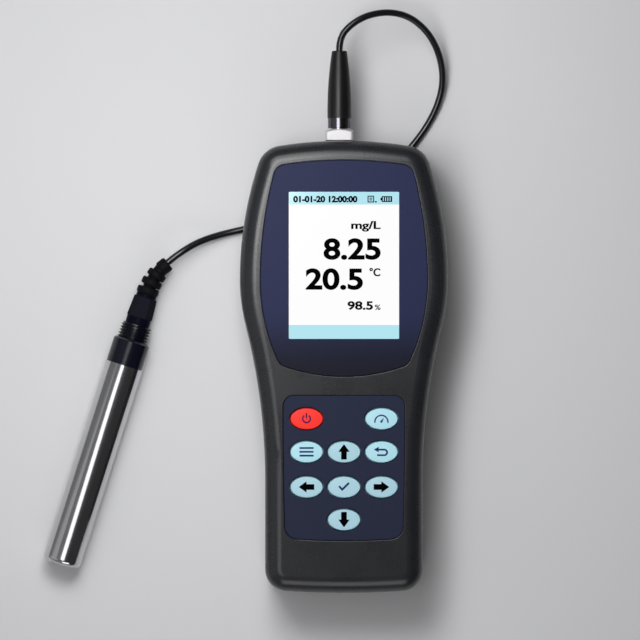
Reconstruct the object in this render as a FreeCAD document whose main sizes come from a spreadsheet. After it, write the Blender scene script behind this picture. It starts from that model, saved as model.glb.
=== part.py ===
import FreeCAD, Part
import math
import os
import re

import Sketcher

Vector = FreeCAD.Vector

# A handheld dissolved oxygen meter that lies on its back, display up, with its probe beside it.
# The origin is on the back, in the middle of the housing's length and width.
# +X points to the right of the display, +Y to the probe socket, and +Z out of the display.
# All sizes are in millimetres and degrees.

SIZES = {
    # housing, seen from the front
    "case_top": 99.8,
    "case_low": -99.8,
    "head_half": 46.0,
    "head_widest": 38.3,
    "grip_half": 34.8,
    "top_bow": 180.0,
    "low_bow": 400.0,
    "head_bow": 165.0,
    "head_turn": 80.0,
    "waist_turn": 277.0,
    "head_corner": 11.5,
    "grip_corner": 9.6,
    # housing, seen from the side
    "case_depth": 38.0,
    "part_line": 16.0,
    "wall": 2.6,
    "front_rim": 7.2,
    "back_rim": 5.6,
    "bevel_start": 16.0,
    "bevel_rise": 8.5,
    "bevel_blend": 120.0,
    # seal between the two shells
    "gasket_inset": 0.8,
    "gasket_width": 1.0,
    "gasket_depth": 0.8,
    # display plate and its recess
    "plate_recess": 1.7,
    "plate_thick": 1.0,
    "plate_gap": 0.1,
    "plate_edge": 0.2,
    "recess_edge": 0.35,
    "display_half": 36.9,
    "display_top": 91.2,
    "display_low": -4.4,
    "display_top_bow": 175.0,
    "display_low_bow": 80.0,
    "display_bow": 185.0,
    "display_turn": 85.0,
    "display_corner": 5.5,
    # display
    "screen_width": 48.6,
    "screen_height": 64.8,
    "screen_up": 44.7,
    "screen_thick": 1.0,
    "screen_drop": 0.1,
    "screen_gap": 0.1,
    "frame_edge": 1.8,
    # keypad
    "pad_half": 26.85,
    "pad_top": -12.4,
    "pad_low": -76.8,
    "pad_side_bow": 1700.0,
    "pad_low_bow": 300.0,
    "pad_corner": 5.0,
    "pad_low_corner": 5.8,
    "key_half_width": 7.3,
    "key_half_height": 4.85,
    "key_gap": 0.3,
    "key_drop": 0.6,
    "key_crown": 0.4,
    "key_travel": 0.6,
    "flange_edge": 0.7,
    "flange_thick": 0.8,
    "column_pitch": 16.5,
    "row_one": -22.9,
    "row_two": -37.5,
    "row_three": -53.0,
    "row_four": -67.4,
    "mat_thick": 0.5,
    "mat_boss": 0.3,
    # circuit board
    "board_thick": 1.6,
    "board_grip_half": 25.2,
    "board_head_half": 36.0,
    "board_low": -78.0,
    "board_top": 72.0,
    "board_step": 14.0,
    "post_radius": 2.6,
    "post_across": 31.5,
    "post_low": 24.0,
    "post_high": 64.0,
    "board_screw": 1.25,
    # components on the circuit board
    "processor_across": 0.0,
    "processor_up": 40.0,
    "processor_width": 12.0,
    "processor_height": 12.0,
    "processor_thick": 1.6,
    "converter_across": -16.0,
    "converter_up": 52.0,
    "converter_width": 8.0,
    "converter_height": 6.0,
    "converter_thick": 1.4,
    "regulator_across": 16.0,
    "regulator_up": 20.0,
    "regulator_width": 7.0,
    "regulator_height": 7.0,
    "regulator_thick": 2.2,
    "inductor_across": 16.0,
    "inductor_up": 6.0,
    "inductor_width": 8.0,
    "inductor_height": 8.0,
    "inductor_thick": 4.0,
    "probe_header_across": -2.0,
    "probe_header_up": 66.0,
    "probe_header_width": 12.0,
    "probe_header_height": 6.0,
    "probe_header_thick": 5.5,
    "battery_header_across": 0.0,
    "battery_header_up": -70.0,
    "battery_header_width": 10.0,
    "battery_header_height": 6.0,
    "battery_header_thick": 5.5,
    "memory_across": 14.0,
    "memory_up": 52.0,
    "memory_width": 6.0,
    "memory_height": 5.0,
    "memory_thick": 1.2,
    "driver_across": -16.0,
    "driver_up": 28.0,
    "driver_width": 9.0,
    "driver_height": 9.0,
    "driver_thick": 1.6,
    "crystal_across": -6.0,
    "crystal_up": 26.0,
    "crystal_radius": 1.6,
    "crystal_thick": 3.0,
    "buzzer_across": 24.0,
    "buzzer_up": 44.0,
    "buzzer_radius": 5.0,
    "buzzer_thick": 6.0,
    "coin_across": -24.0,
    "coin_up": 40.0,
    "coin_radius": 6.2,
    "coin_thick": 2.5,
    # case screws
    "screw_radius": 1.5,
    "screw_head": 2.7,
    "screw_head_thick": 2.0,
    "screw_seat": 10.5,
    "screw_reach": 13.0,
    "screw_well": 3.0,
    "boss_radius": 4.2,
    "screw_low_across": 27.0,
    "screw_low_up": -89.3,
    "screw_mid_across": 31.2,
    "screw_mid_up": 4.0,
    "screw_top_across": 33.0,
    "screw_top_up": 82.0,
    # battery compartment
    "cell_radius": 7.25,
    "cell_length": 50.5,
    "cell_gap": 0.4,
    "cell_pitch": 15.4,
    "nub_radius": 2.7,
    "nub_length": 1.0,
    "contact_half": 4.5,
    "contact_thick": 0.4,
    "spring_wide": 3.2,
    "spring_narrow": 2.2,
    "bay_up": -50.0,
    "bay_half_width": 24.3,
    "bay_half_length": 27.6,
    "bay_wall": 1.4,
    "door_half_width": 26.9,
    "door_half_length": 33.4,
    "door_corner": 3.5,
    "door_thick": 2.0,
    "door_sunk": 0.4,
    "door_gap": 0.25,
    "seal_thick": 0.6,
    "seal_width": 1.1,
    "ledge_thick": 2.0,
    "door_screw": 1.2,
    "door_screw_head": 2.1,
    "door_screw_floor": 0.7,
    "small_head_thick": 1.2,
    "door_edge": 0.4,
    "door_screw_across": 14.0,
    "door_screw_along": 30.6,
    # probe socket in the top end
    "socket_across": -2.0,
    "socket_height": 22.6,
    "socket_radius": 4.5,
    "socket_bore": 3.8,
    "socket_sunk": 0.5,
    "socket_flange": 6.0,
    "washer_radius": 5.75,
    "washer_thick": 0.9,
    "nut_half": 6.15,
    "nut_height": 4.8,
    "nut_corner": 1.2,
    "nut_chamfer_start": 5.4,
    "barrel_proud": 0.2,
    "socket_depth": 7.7,
    "insert_radius": 3.0,
    "insert_thick": 4.0,
    "pin_radius": 0.45,
    "pin_ring": 1.5,
    "pin_sunk": 4.7,
    # plug and its boot
    "plug_gap": 0.3,
    "nose_gap": 0.5,
    "plug_bore": 2.7,
    "plug_radius": 5.1,
    "plug_length": 4.4,
    "boot_radius": 5.3,
    "boot_tip": 3.3,
    "boot_length": 29.8,
    "boot_straight": 3.0,
    "boot_edge": 0.5,
    # probe cable
    "cable_radius": 1.5,
    # probe, measured from the joint between its collar and its steel tube
    "probe_across": -97.5,
    "probe_up": 0.5,
    "probe_lean": 17.66,
    "tube_radius": 8.5,
    "tube_length": 92.6,
    "tube_wall": 0.8,
    "tube_rim": 2.2,
    "tip_thick": 2.4,
    "mouth_radius": 5.6,
    "collar_radius": 8.2,
    "collar_length": 11.7,
    "collar_edge": 0.8,
    "spigot_length": 6.0,
    "groove_start": 2.0,
    "groove_width": 1.6,
    "groove_depth": 1.0,
    "neck_radius": 6.85,
    "neck_length": 7.2,
    "neck_edge": 0.6,
    "neck_undercut": 0.7,
    "gland_radius": 5.75,
    "gland_top": 5.1,
    "gland_length": 14.2,
    "gland_base": 5.45,
    "gland_base_length": 3.4,
    "gland_ring": 4.5,
    "gland_ring_length": 1.6,
    # sensing parts at the probe's tip, measured back from the tip
    "cap_depth": 8.6,
    "cap_bore": 5.0,
    "cap_floor": 3.2,
    "cap_hole": 2.4,
    "cap_sunk": 0.6,
    "nose_depth": 3.6,
    "nose_radius": 3.0,
    "film_depth": 1.2,
    "film_thick": 0.4,
    "film_radius": 3.4,
    "anode_radius": 4.0,
    "anode_length": 4.0,
    "cathode_radius": 1.2,
    # ribbed sleeve between the gland and the cable
    "relief_core": 3.0,
    "relief_bend": 28.6,
    "relief_turn": 34.0,
    "ring_wide": 4.9,
    "ring_narrow": 4.3,
    "ring_thick": 3.2,
    "ring_pitch": 4.0,
    "ring_round": 0.9,
    "cuff_radius": 3.35,
    "cuff_length": 4.6,
}

doc = FreeCAD.newDocument("dissolved_oxygen_meter")
sheet = doc.addObject("Spreadsheet::Sheet", "Sizes")
for row, (name, size) in enumerate(SIZES.items(), start=1):
    sheet.set(f"A{row}", name)
    sheet.set(f"B{row}", str(size))
    sheet.setAlias(f"B{row}", name)
doc.recompute()

WORD = re.compile(r"[a-z_]+")
finished = []


def sized(expression):
    """The expression with each size pointing at its cell on the sheet."""
    return WORD.sub(lambda word: f"Sizes.{word[0]}" if word[0] in SIZES else word[0], str(expression))


def value(expression):
    """The number that the expression gives now."""
    return float(sheet.evalExpression(sized(expression)))


def bind(thing, name, expression):
    thing.setExpression(name, sized(expression))


def new_body(name):
    body = doc.addObject("PartDesign::Body", name)
    body.Label = name
    finished.append(body)
    return body


def new_sketch(body, plane, height="0"):
    """A sketch on one of the body's own planes, moved along the plane's normal."""
    sketch = body.newObject("Sketcher::SketchObject", f"{body.Name}_sketch")
    support = next(part for part in body.Origin.OriginFeatures if part.Role == plane)
    sketch.AttachmentSupport = [(support, "")]
    sketch.MapMode = "FlatFace"
    bind(sketch, "AttachmentOffset.Base.z", height)
    return sketch


def dimension(sketch, kind, *where, size):
    index = sketch.addConstraint(Sketcher.Constraint(kind, *where, value(size)))
    sketch.setExpression(f"Constraints[{index}]", sized(size))


def circle(sketch, x, y, radius):
    centre = Vector(value(x), value(y), 0)
    line = sketch.addGeometry(Part.Circle(centre, Vector(0, 0, 1), value(radius)))
    dimension(sketch, "Radius", line, size=radius)
    dimension(sketch, "DistanceX", -1, 1, line, 3, size=x)
    dimension(sketch, "DistanceY", -1, 1, line, 3, size=y)


def oval(sketch, x, y, half_width, half_height):
    """An ellipse with its long axis along X, held by its two axes."""
    centre = Vector(value(x), value(y), 0)
    line = sketch.addGeometry(Part.Ellipse(centre, value(half_width), value(half_height)))
    sketch.exposeInternalGeometry(line)
    long_axis, short_axis = line + 1, line + 2
    sketch.addConstraint(Sketcher.Constraint("Horizontal", long_axis))
    dimension(sketch, "DistanceX", -1, 1, line, 3, size=x)
    dimension(sketch, "DistanceY", -1, 1, line, 3, size=y)
    dimension(sketch, "Distance", long_axis, size=f"2 * ({half_width})")
    dimension(sketch, "Distance", short_axis, size=f"2 * ({half_height})")


def polygon(sketch, corners):
    points = [Vector(value(x), value(y), 0) for x, y in corners]
    first = sketch.GeometryCount
    for start, end in zip(points, points[1:] + points[:1]):
        sketch.addGeometry(Part.LineSegment(start, end))
    for index in range(len(points)):
        after = first + (index + 1) % len(points)
        sketch.addConstraint(Sketcher.Constraint("Coincident", first + index, 2, after, 1))
    for index, (x, y) in enumerate(corners):
        dimension(sketch, "DistanceX", -1, 1, first + index, 1, size=x)
        dimension(sketch, "DistanceY", -1, 1, first + index, 1, size=y)


class Side:
    """A straight stretch of an outline, upright at x or level at y."""

    def __init__(self, x=None, y=None):
        self.upright = x is not None
        self.place = x if self.upright else y
        self.hollow = False

    def meeting(self, bend):
        """Where the stretch runs into a bend."""
        if self.upright:
            return Vector(value(self.place), bend.centre.y, 0)
        return Vector(bend.centre.x, value(self.place), 0)

    def draw(self, sketch, start, end):
        line = sketch.addGeometry(Part.LineSegment(start, end))
        direction, distance = ("Vertical", "DistanceX") if self.upright else ("Horizontal", "DistanceY")
        sketch.addConstraint(Sketcher.Constraint(direction, line))
        dimension(sketch, distance, -1, 1, line, 1, size=self.place)
        return line


class Bend:
    """A round stretch of an outline. x and y are given only where they hold its centre."""

    def __init__(self, radius, x=None, y=None, centre=None, hollow=False):
        self.radius = radius
        self.x = x
        self.y = y
        self.centre = centre or Vector(value(x), value(y), 0)
        self.hollow = hollow

    def meeting(self, other):
        """Where two bends touch, which is on the line through their centres."""
        if isinstance(other, Side):
            return other.meeting(self)
        large, small = self, other
        if not (self.hollow or other.hollow) and value(other.radius) > value(self.radius):
            large, small = other, self
        across = (small.centre - large.centre).normalize()
        return large.centre + across * value(large.radius)

    def draw(self, sketch, start, end):
        if self.hollow:
            start, end = end, start
        first = math.atan2(start.y - self.centre.y, start.x - self.centre.x)
        last = math.atan2(end.y - self.centre.y, end.x - self.centre.x)
        if last < first:
            last += 2 * math.pi
        whole = Part.Circle(self.centre, Vector(0, 0, 1), value(self.radius))
        line = sketch.addGeometry(Part.ArcOfCircle(whole, first, last))
        dimension(sketch, "Radius", line, size=self.radius)
        if self.x is not None:
            dimension(sketch, "DistanceX", -1, 1, line, 3, size=self.x)
        if self.y is not None:
            dimension(sketch, "DistanceY", -1, 1, line, 3, size=self.y)
        return line


def outline(sketch, stretches):
    """A closed outline of stretches, counterclockwise, each tangent to the next."""
    joints = [one.meeting(two) for one, two in zip(stretches, stretches[1:] + stretches[:1])]
    lines = []
    for index, stretch in enumerate(stretches):
        lines.append(stretch.draw(sketch, joints[index - 1], joints[index]))
    for index, stretch in enumerate(stretches):
        following = (index + 1) % len(stretches)
        leaving = 1 if stretch.hollow else 2
        entering = 2 if stretches[following].hollow else 1
        touch = Sketcher.Constraint("Tangent", lines[index], leaving, lines[following], entering)
        sketch.addConstraint(touch)


def rounded_rectangle(sketch, x, y, half_width, half_height, radius):
    def corner(across, up):
        inner_x = value(x) + across * (value(half_width) - value(radius))
        inner_y = value(y) + up * (value(half_height) - value(radius))
        return Bend(radius, centre=Vector(inner_x, inner_y, 0))

    outline(sketch, [
        Side(x=f"{x} + {half_width}"), corner(1, 1),
        Side(y=f"{y} + {half_height}"), corner(-1, 1),
        Side(x=f"{x} - ({half_width})"), corner(-1, -1),
        Side(y=f"{y} - ({half_height})"), corner(1, -1),
    ])


def crossing(centre, radius, other, other_radius, up):
    """Where two circles cross to the right of the middle line, the upper or the lower point."""
    apart = other - centre
    along = (radius ** 2 - other_radius ** 2 + apart.Length ** 2) / (2 * apart.Length)
    aside = math.sqrt(radius ** 2 - along ** 2)
    foot = centre + apart * (along / apart.Length)
    square = Vector(-apart.y, apart.x, 0) * (aside / apart.Length)
    return max((foot + square, foot - square), key=lambda point: point.y * up)


def mirrored(stretch):
    """The same stretch on the other side of the middle line."""
    if isinstance(stretch, Side):
        return Side(x=f"-({stretch.place})")
    x = None if stretch.x is None else f"-({stretch.x})"
    centre = Vector(-stretch.centre.x, stretch.centre.y, 0)
    return Bend(stretch.radius, x=x, y=stretch.y, centre=centre, hollow=stretch.hollow)


def symmetric_outline(sketch, low, right, top):
    left = [mirrored(stretch) for stretch in reversed(right)]
    outline(sketch, [low, *right, top, *left])


def case_outline(sketch, inset="0"):
    """The waisted outline of the housing, moved inwards by the inset."""
    low = Bend(f"low_bow - {inset}", x="0", y="case_low + low_bow")
    top = Bend(f"top_bow - {inset}", x="0", y="case_top - top_bow")
    head = Bend(f"head_bow - {inset}", x="head_half - head_bow", y="head_widest")
    turn_centre = Vector(value("head_half - head_turn"), value("head_widest"), 0)
    turn = Bend(f"head_turn - {inset}", y="head_widest", centre=turn_centre)
    reach = value("head_turn + waist_turn")
    aside = value("grip_half + waist_turn") - turn_centre.x
    waist_y = turn_centre.y - math.sqrt(reach ** 2 - aside ** 2)
    waist_centre = Vector(value("grip_half + waist_turn"), waist_y, 0)
    waist = Bend(f"waist_turn + {inset}", centre=waist_centre, hollow=True)
    head_corner = crossing(top.centre, value("top_bow - head_corner"),
                           head.centre, value("head_bow - head_corner"), up=1)
    corner_x = value("grip_half - grip_corner")
    corner_y = low.centre.y - math.sqrt(value("low_bow - grip_corner") ** 2 - corner_x ** 2)
    symmetric_outline(sketch, low, [
        Bend(f"grip_corner - {inset}", centre=Vector(corner_x, corner_y, 0)),
        Side(x=f"grip_half - {inset}"),
        waist, turn, head,
        Bend(f"head_corner - {inset}", centre=head_corner),
    ], top)


def display_outline(sketch, inset="0"):
    """The outline of the plate round the display, moved inwards by the inset."""
    low = Bend(f"display_low_bow - {inset}", x="0", y="display_low + display_low_bow")
    top = Bend(f"display_top_bow - {inset}", x="0", y="display_top - display_top_bow")
    side = Bend(f"display_bow - {inset}", x="display_half - display_bow", y="head_widest")
    turn_centre = Vector(value("display_half - display_turn"), value("head_widest"), 0)
    turn = Bend(f"display_turn - {inset}", y="head_widest", centre=turn_centre)
    corner = f"display_corner - {inset}"
    high_corner = crossing(top.centre, value("display_top_bow - display_corner"),
                           side.centre, value("display_bow - display_corner"), up=1)
    low_corner = crossing(low.centre, value("display_low_bow - display_corner"),
                          turn.centre, value("display_turn - display_corner"), up=-1)
    symmetric_outline(sketch, low, [
        Bend(corner, centre=low_corner), turn, side, Bend(corner, centre=high_corner),
    ], top)


def keypad_outline(sketch, inset="0"):
    """The outline of the plate under the keys, which narrows a little downwards, moved in by the inset."""
    low = Bend(f"pad_low_bow - {inset}", x="0", y="pad_low + pad_low_bow")
    side = Bend(f"pad_side_bow - {inset}", x="pad_half - pad_side_bow", y="row_one")
    low_corner = crossing(low.centre, value("pad_low_bow - pad_low_corner"),
                          side.centre, value("pad_side_bow - pad_low_corner"), up=-1)
    level = value("pad_top - pad_corner")
    aside = math.sqrt(value("pad_side_bow - pad_corner") ** 2 - (level - side.centre.y) ** 2)
    symmetric_outline(sketch, low, [
        Bend(f"pad_low_corner - {inset}", centre=low_corner), side,
        Bend(f"pad_corner - {inset}", centre=Vector(side.centre.x + aside, level, 0)),
    ], Side(y=f"pad_top - {inset}"))


def pad(body, sketch, length):
    feature = body.newObject("PartDesign::Pad", f"{body.Name}_pad")
    feature.Profile = sketch
    bind(feature, "Length", length)
    return feature


def pocket(body, sketch, length, upwards=False):
    """A cut from the sketch, down unless it is turned upwards."""
    feature = body.newObject("PartDesign::Pocket", f"{body.Name}_pocket")
    feature.Profile = sketch
    feature.Reversed = upwards
    bind(feature, "Length", length)
    return feature


def turned(name, profile):
    """A body that is round about its own Z axis. The profile has radius and height."""
    body = new_body(name)
    sketch = new_sketch(body, "XZ_Plane")
    polygon(sketch, profile)
    feature = body.newObject("PartDesign::Revolution", f"{name}_revolution")
    feature.Profile = sketch
    feature.ReferenceAxis = (sketch, ["V_Axis"])
    feature.Angle = 360
    return body


def edges_where(shape, test):
    """The names of the edges whose ends and middle all pass the test."""
    names = []
    for index, edge in enumerate(shape.Edges, start=1):
        places = [edge.getParameterByLength(share * edge.Length) for share in (0, 0.5, 1)]
        if all(test(edge.valueAt(place)) for place in places):
            names.append(f"Edge{index}")
    return names


def dress(body, kind, base, names, size_name, size):
    """A fillet or a chamfer on the named edges of the feature before it."""
    feature = body.newObject(f"PartDesign::{kind}", f"{body.Name}_{kind.lower()}")
    feature.Base = (base, names)
    bind(feature, size_name, size)
    return feature


def ease_top(body, height, kind="Chamfer", size="plate_edge"):
    """Breaks every edge of the body's top face."""
    doc.recompute()
    level = value(height)
    rim = edges_where(body.Shape, lambda point: same(point.z, level))
    dress(body, kind, body.Tip, rim, "Size" if kind == "Chamfer" else "Radius", size)


def recess_rims(shape, top, floor):
    """The names of the edges at the top height that stand over an edge of a recess's floor."""
    feet = []
    for name in edges_where(shape, lambda point: same(point.z, floor)):
        feet.append(middle_of(shape.getElement(name)))
    rims = []
    for name in edges_where(shape, lambda point: same(point.z, top)):
        middle = middle_of(shape.getElement(name))
        if any(same(middle.x, foot.x) and same(middle.y, foot.y) for foot in feet):
            rims.append(name)
    return rims


def middle_of(edge):
    return edge.valueAt(edge.getParameterByLength(edge.Length / 2))


def boolean(body, other, kind):
    """Joins another body to this one, or cuts it out."""
    feature = body.newObject("PartDesign::Boolean", f"{body.Name}_{kind.lower()}")
    feature.setObjects([other])
    feature.Type = kind
    doc.recompute()


def same(one, other):
    return abs(one - other) < 0.01


def place(x, y, z, rotation=None):
    """A placement whose coordinates are expressions of the sizes."""
    turn = rotation or FreeCAD.Rotation()
    return FreeCAD.Placement(Vector(value(x), value(y), value(z)), turn)


def primitive(kind, name, where, **sizes):
    thing = doc.addObject(f"Part::{kind}", name)
    for size_name, size in sizes.items():
        bind(thing, size_name, size)
    thing.Placement = where
    return thing


def joined(name, kind, pieces):
    """Several pieces fused into one, or kept apart in one compound."""
    thing = doc.addObject(f"Part::{kind}", name)
    if kind == "Compound":
        thing.Links = pieces
    else:
        thing.Shapes = pieces
    return thing


def finish(thing, name):
    thing.Label = name
    finished.append(thing)
    return thing


# heights that several pieces share
INNER_FACE = "case_depth - wall"
PLATE_TOP = "case_depth - plate_recess + plate_thick"
FLANGE_LOW = f"{INNER_FACE} - key_gap - flange_thick"
MAT_TOP = f"{FLANGE_LOW} - key_travel - key_gap"
BOARD_TOP = f"{MAT_TOP} - mat_boss - mat_thick"
BOARD_LOW = f"{BOARD_TOP} - board_thick"
SCREEN_LOW = f"{PLATE_TOP} - screen_drop - screen_thick"
DOOR_RECESS = "door_sunk + door_thick + seal_thick"
LEDGE_TOP = f"{DOOR_RECESS} + ledge_thick"
CELL_HEIGHT = "door_sunk + door_thick + cell_gap + cell_radius"
TRAY_ROOF = f"{CELL_HEIGHT} + cell_radius + cell_gap"

# places along +Y that the socket and the plug share
NUT_SEAT = "case_top - socket_sunk"
NUT_LOW = f"{NUT_SEAT} + washer_thick"
NUT_TOP = f"{NUT_LOW} + nut_height"
SOCKET_MOUTH = f"{NUT_TOP} + barrel_proud"
SOCKET_FLOOR = f"{SOCKET_MOUTH} - socket_depth"
SOCKET_BACK = f"{SOCKET_FLOOR} - insert_thick"
PIN_END = f"{SOCKET_MOUTH} - pin_sunk"
PLUG_NOSE = f"{SOCKET_FLOOR} + nose_gap"
PLUG_FACE = f"{SOCKET_MOUTH} + plug_gap"
PLUG_END = f"{PLUG_FACE} + plug_length"
BOOT_END = f"{PLUG_END} + boot_length"

CASE_SCREWS = [
    (f"{side} * screw_{level}_across", f"screw_{level}_up")
    for level in ("low", "mid", "top") for side in (1, -1)
]
BOARD_SCREWS = [
    (f"{side} * post_across", f"post_{level}") for level in ("low", "high") for side in (1, -1)
]
DOOR_SCREWS = [
    (f"{side} * door_screw_across", f"bay_up + {end} * door_screw_along")
    for side in (1, -1) for end in (1, -1)
]
CHIPS = ("processor", "converter", "regulator", "inductor", "probe_header", "battery_header", "memory",
         "driver")
KEYS = {
    "key_power": ("-column_pitch", "row_one"),
    "key_measure": ("column_pitch", "row_one"),
    "key_menu": ("-column_pitch", "row_two"),
    "key_up": ("0", "row_two"),
    "key_escape": ("column_pitch", "row_two"),
    "key_left": ("-column_pitch", "row_three"),
    "key_ok": ("0", "row_three"),
    "key_right": ("column_pitch", "row_three"),
    "key_down": ("0", "row_four"),
}


def circles(sketch, centres, radius):
    for x, y in centres:
        circle(sketch, x, y, radius)


def key_ovals(sketch, margin):
    for x, y in KEYS.values():
        oval(sketch, x, y, f"key_half_width + {margin}", f"key_half_height + {margin}")


def front_block(name, inset):
    """The rounded form of the display side, solid. Inset by the wall it is the cavity."""
    body = doc.addObject("PartDesign::Body", name)
    blank = new_sketch(body, "XY_Plane", "part_line")
    case_outline(blank, inset)
    solid = pad(body, blank, f"case_depth - part_line - {inset}")
    doc.recompute()
    top = value(f"case_depth - {inset}")
    rim = edges_where(solid.Shape, lambda point: same(point.z, top))
    dress(body, "Fillet", solid, rim, "Radius", f"front_rim - {inset}")
    doc.recompute()
    return body


def make_front_shell():
    """The display side: a moulded shell with seats for the display plate and the keypad."""
    core = front_block("front_core", "wall")
    bosses = new_sketch(core, "XY_Plane", "part_line")
    circles(bosses, CASE_SCREWS, "boss_radius")
    pocket(core, bosses, "case_depth", upwards=True)
    posts = new_sketch(core, "XY_Plane", BOARD_TOP)
    circles(posts, BOARD_SCREWS, "post_radius")
    pocket(core, posts, "wall + case_depth", upwards=True)

    body = front_block("front_shell", "0")
    boolean(body, core, "Cut")
    seat = new_sketch(body, "XY_Plane", "case_depth")
    display_outline(seat)
    pocket(body, seat, "plate_recess")
    keypad = new_sketch(body, "XY_Plane", "case_depth")
    keypad_outline(keypad)
    recesses = pocket(body, keypad, "plate_recess")
    doc.recompute()
    rims = recess_rims(body.Shape, value("case_depth"), value("case_depth - plate_recess"))
    dress(body, "Fillet", recesses, rims, "Radius", "recess_edge")
    window = new_sketch(body, "XY_Plane", "case_depth")
    rounded_rectangle(window, "0", "screen_up", "screen_width / 2 + frame_edge + screen_gap",
                      "screen_height / 2 + frame_edge + screen_gap", "1")
    pocket(body, window, "wall + plate_gap")
    holes = new_sketch(body, "XY_Plane", "case_depth")
    key_ovals(holes, "key_gap")
    pocket(body, holes, "wall + plate_gap")
    threads = new_sketch(body, "XY_Plane", "part_line")
    circles(threads, CASE_SCREWS, "screw_radius")
    pocket(body, threads, "screw_seat + screw_reach + wall - part_line", upwards=True)
    board_threads = new_sketch(body, "XY_Plane", BOARD_TOP)
    circles(board_threads, BOARD_SCREWS, "board_screw")
    pocket(body, board_threads, "wall", upwards=True)
    socket_hole = new_sketch(body, "XZ_Plane", "wall * 2 - case_top")
    circle(socket_hole, "socket_across", "socket_height", "socket_radius + plate_gap")
    pocket(body, socket_hole, "wall * 3")
    washer_seat = new_sketch(body, "XZ_Plane", f"-({NUT_SEAT})")
    circle(washer_seat, "socket_across", "socket_height", "washer_radius + plate_gap")
    pocket(body, washer_seat, "wall")
    return finish(body, "front_shell")


def rear_block(name, inset):
    """The rounded form of the back, which bevels up towards the top end."""
    body = doc.addObject("PartDesign::Body", name)
    blank = new_sketch(body, "XY_Plane", inset)
    case_outline(blank, inset)
    pad(body, blank, f"part_line - {inset}")
    slope = "bevel_rise / (case_top - bevel_start)"
    past = "case_top + wall"
    bevel = new_sketch(body, "YZ_Plane")
    polygon(bevel, [
        ("bevel_start", inset),
        (past, f"{inset} - wall"),
        (past, f"{inset} + ({past} - bevel_start) * {slope}"),
    ])
    cut = pocket(body, bevel, "2 * head_half + wall")
    cut.Midplane = True
    doc.recompute()
    start = value("bevel_start")
    highest = value("bevel_rise + wall") + 1
    crease = edges_where(cut.Shape, lambda point: same(point.y, start) and point.z < highest)
    blend = dress(body, "Fillet", cut, crease, "Radius", f"bevel_blend - {inset}")
    doc.recompute()
    rim = [
        name for name in edges_where(blend.Shape, lambda point: point.z < highest)
        if not crosses_middle(blend.Shape.getElement(name))
    ]
    dress(body, "Fillet", blend, rim, "Radius", f"back_rim - {inset}")
    doc.recompute()
    return body


def crosses_middle(edge):
    """True for an edge that runs across the back, and not along its outline."""
    middle = middle_of(edge)
    return same(middle.x, 0) and abs(middle.y) < value("case_top") / 2


def make_rear_shell():
    """The back: screw wells at its corners, a battery opening in the grip, a seal groove on its edge."""
    core = rear_block("rear_core", "wall")
    bosses = new_sketch(core, "XY_Plane", "part_line")
    circles(bosses, CASE_SCREWS, "boss_radius")
    pocket(core, bosses, "part_line")
    ledge = new_sketch(core, "XY_Plane")
    rounded_rectangle(ledge, "0", "bay_up", "door_half_width + wall", "door_half_length + wall",
                      "door_corner")
    pocket(core, ledge, LEDGE_TOP, upwards=True)

    body = rear_block("rear_shell", "0")
    boolean(body, core, "Cut")
    wells = new_sketch(body, "XY_Plane", "-(wall)")
    circles(wells, CASE_SCREWS, "screw_well")
    pocket(body, wells, "screw_seat + wall", upwards=True)
    shanks = new_sketch(body, "XY_Plane", "screw_seat - wall")
    circles(shanks, CASE_SCREWS, "screw_radius")
    pocket(body, shanks, "part_line - screw_seat + 2 * wall", upwards=True)
    recess = new_sketch(body, "XY_Plane", "-(wall)")
    rounded_rectangle(recess, "0", "bay_up", "door_half_width + door_gap", "door_half_length + door_gap",
                      "door_corner")
    pocket(body, recess, f"{DOOR_RECESS} + wall", upwards=True)
    opening = new_sketch(body, "XY_Plane")
    rounded_rectangle(opening, "0", "bay_up", "bay_half_width", "bay_half_length", "door_corner")
    pocket(body, opening, f"{LEDGE_TOP} + wall", upwards=True)
    door_threads = new_sketch(body, "XY_Plane")
    circles(door_threads, DOOR_SCREWS, "door_screw")
    pocket(body, door_threads, f"{LEDGE_TOP} + wall", upwards=True)
    groove = new_sketch(body, "XY_Plane", "part_line")
    case_outline(groove, "gasket_inset")
    case_outline(groove, "(gasket_inset + gasket_width)")
    pocket(body, groove, "gasket_depth")
    return finish(body, "rear_shell")


def make_plate(name, low, thick, draw):
    """A flat piece: a sketch that is drawn by the given function, padded upwards."""
    body = new_body(name)
    sketch = new_sketch(body, "XY_Plane", low)
    draw(sketch)
    pad(body, sketch, thick)
    return body


def make_shell_gasket():
    def ring(sketch):
        case_outline(sketch, "gasket_inset")
        case_outline(sketch, "(gasket_inset + gasket_width)")

    make_plate("shell_gasket", "part_line - gasket_depth", "gasket_depth", ring)


def make_display():
    """The printed plate, the screen in its window, and the frame that holds the screen on the board."""
    def plate(sketch):
        display_outline(sketch, "plate_gap")
        rounded_rectangle(sketch, "0", "screen_up", "screen_width / 2 + screen_gap",
                          "screen_height / 2 + screen_gap", "0.6")

    def screen(sketch):
        rounded_rectangle(sketch, "0", "screen_up", "screen_width / 2", "screen_height / 2", "0.5")

    def frame(sketch):
        rounded_rectangle(sketch, "0", "screen_up", "screen_width / 2 + frame_edge",
                          "screen_height / 2 + frame_edge", "0.9")

    panel = make_plate("display_panel", "case_depth - plate_recess", "plate_thick", plate)
    ease_top(panel, PLATE_TOP)
    make_plate("lcd_screen", SCREEN_LOW, "screen_thick", screen)
    make_plate("lcd_frame", BOARD_TOP, f"{SCREEN_LOW} - ({BOARD_TOP})", frame)


def make_keypad_panel():
    def plate(sketch):
        keypad_outline(sketch, "plate_gap")
        key_ovals(sketch, "key_gap")

    panel = make_plate("keypad_panel", "case_depth - plate_recess", "plate_thick", plate)
    ease_top(panel, PLATE_TOP)


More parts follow.
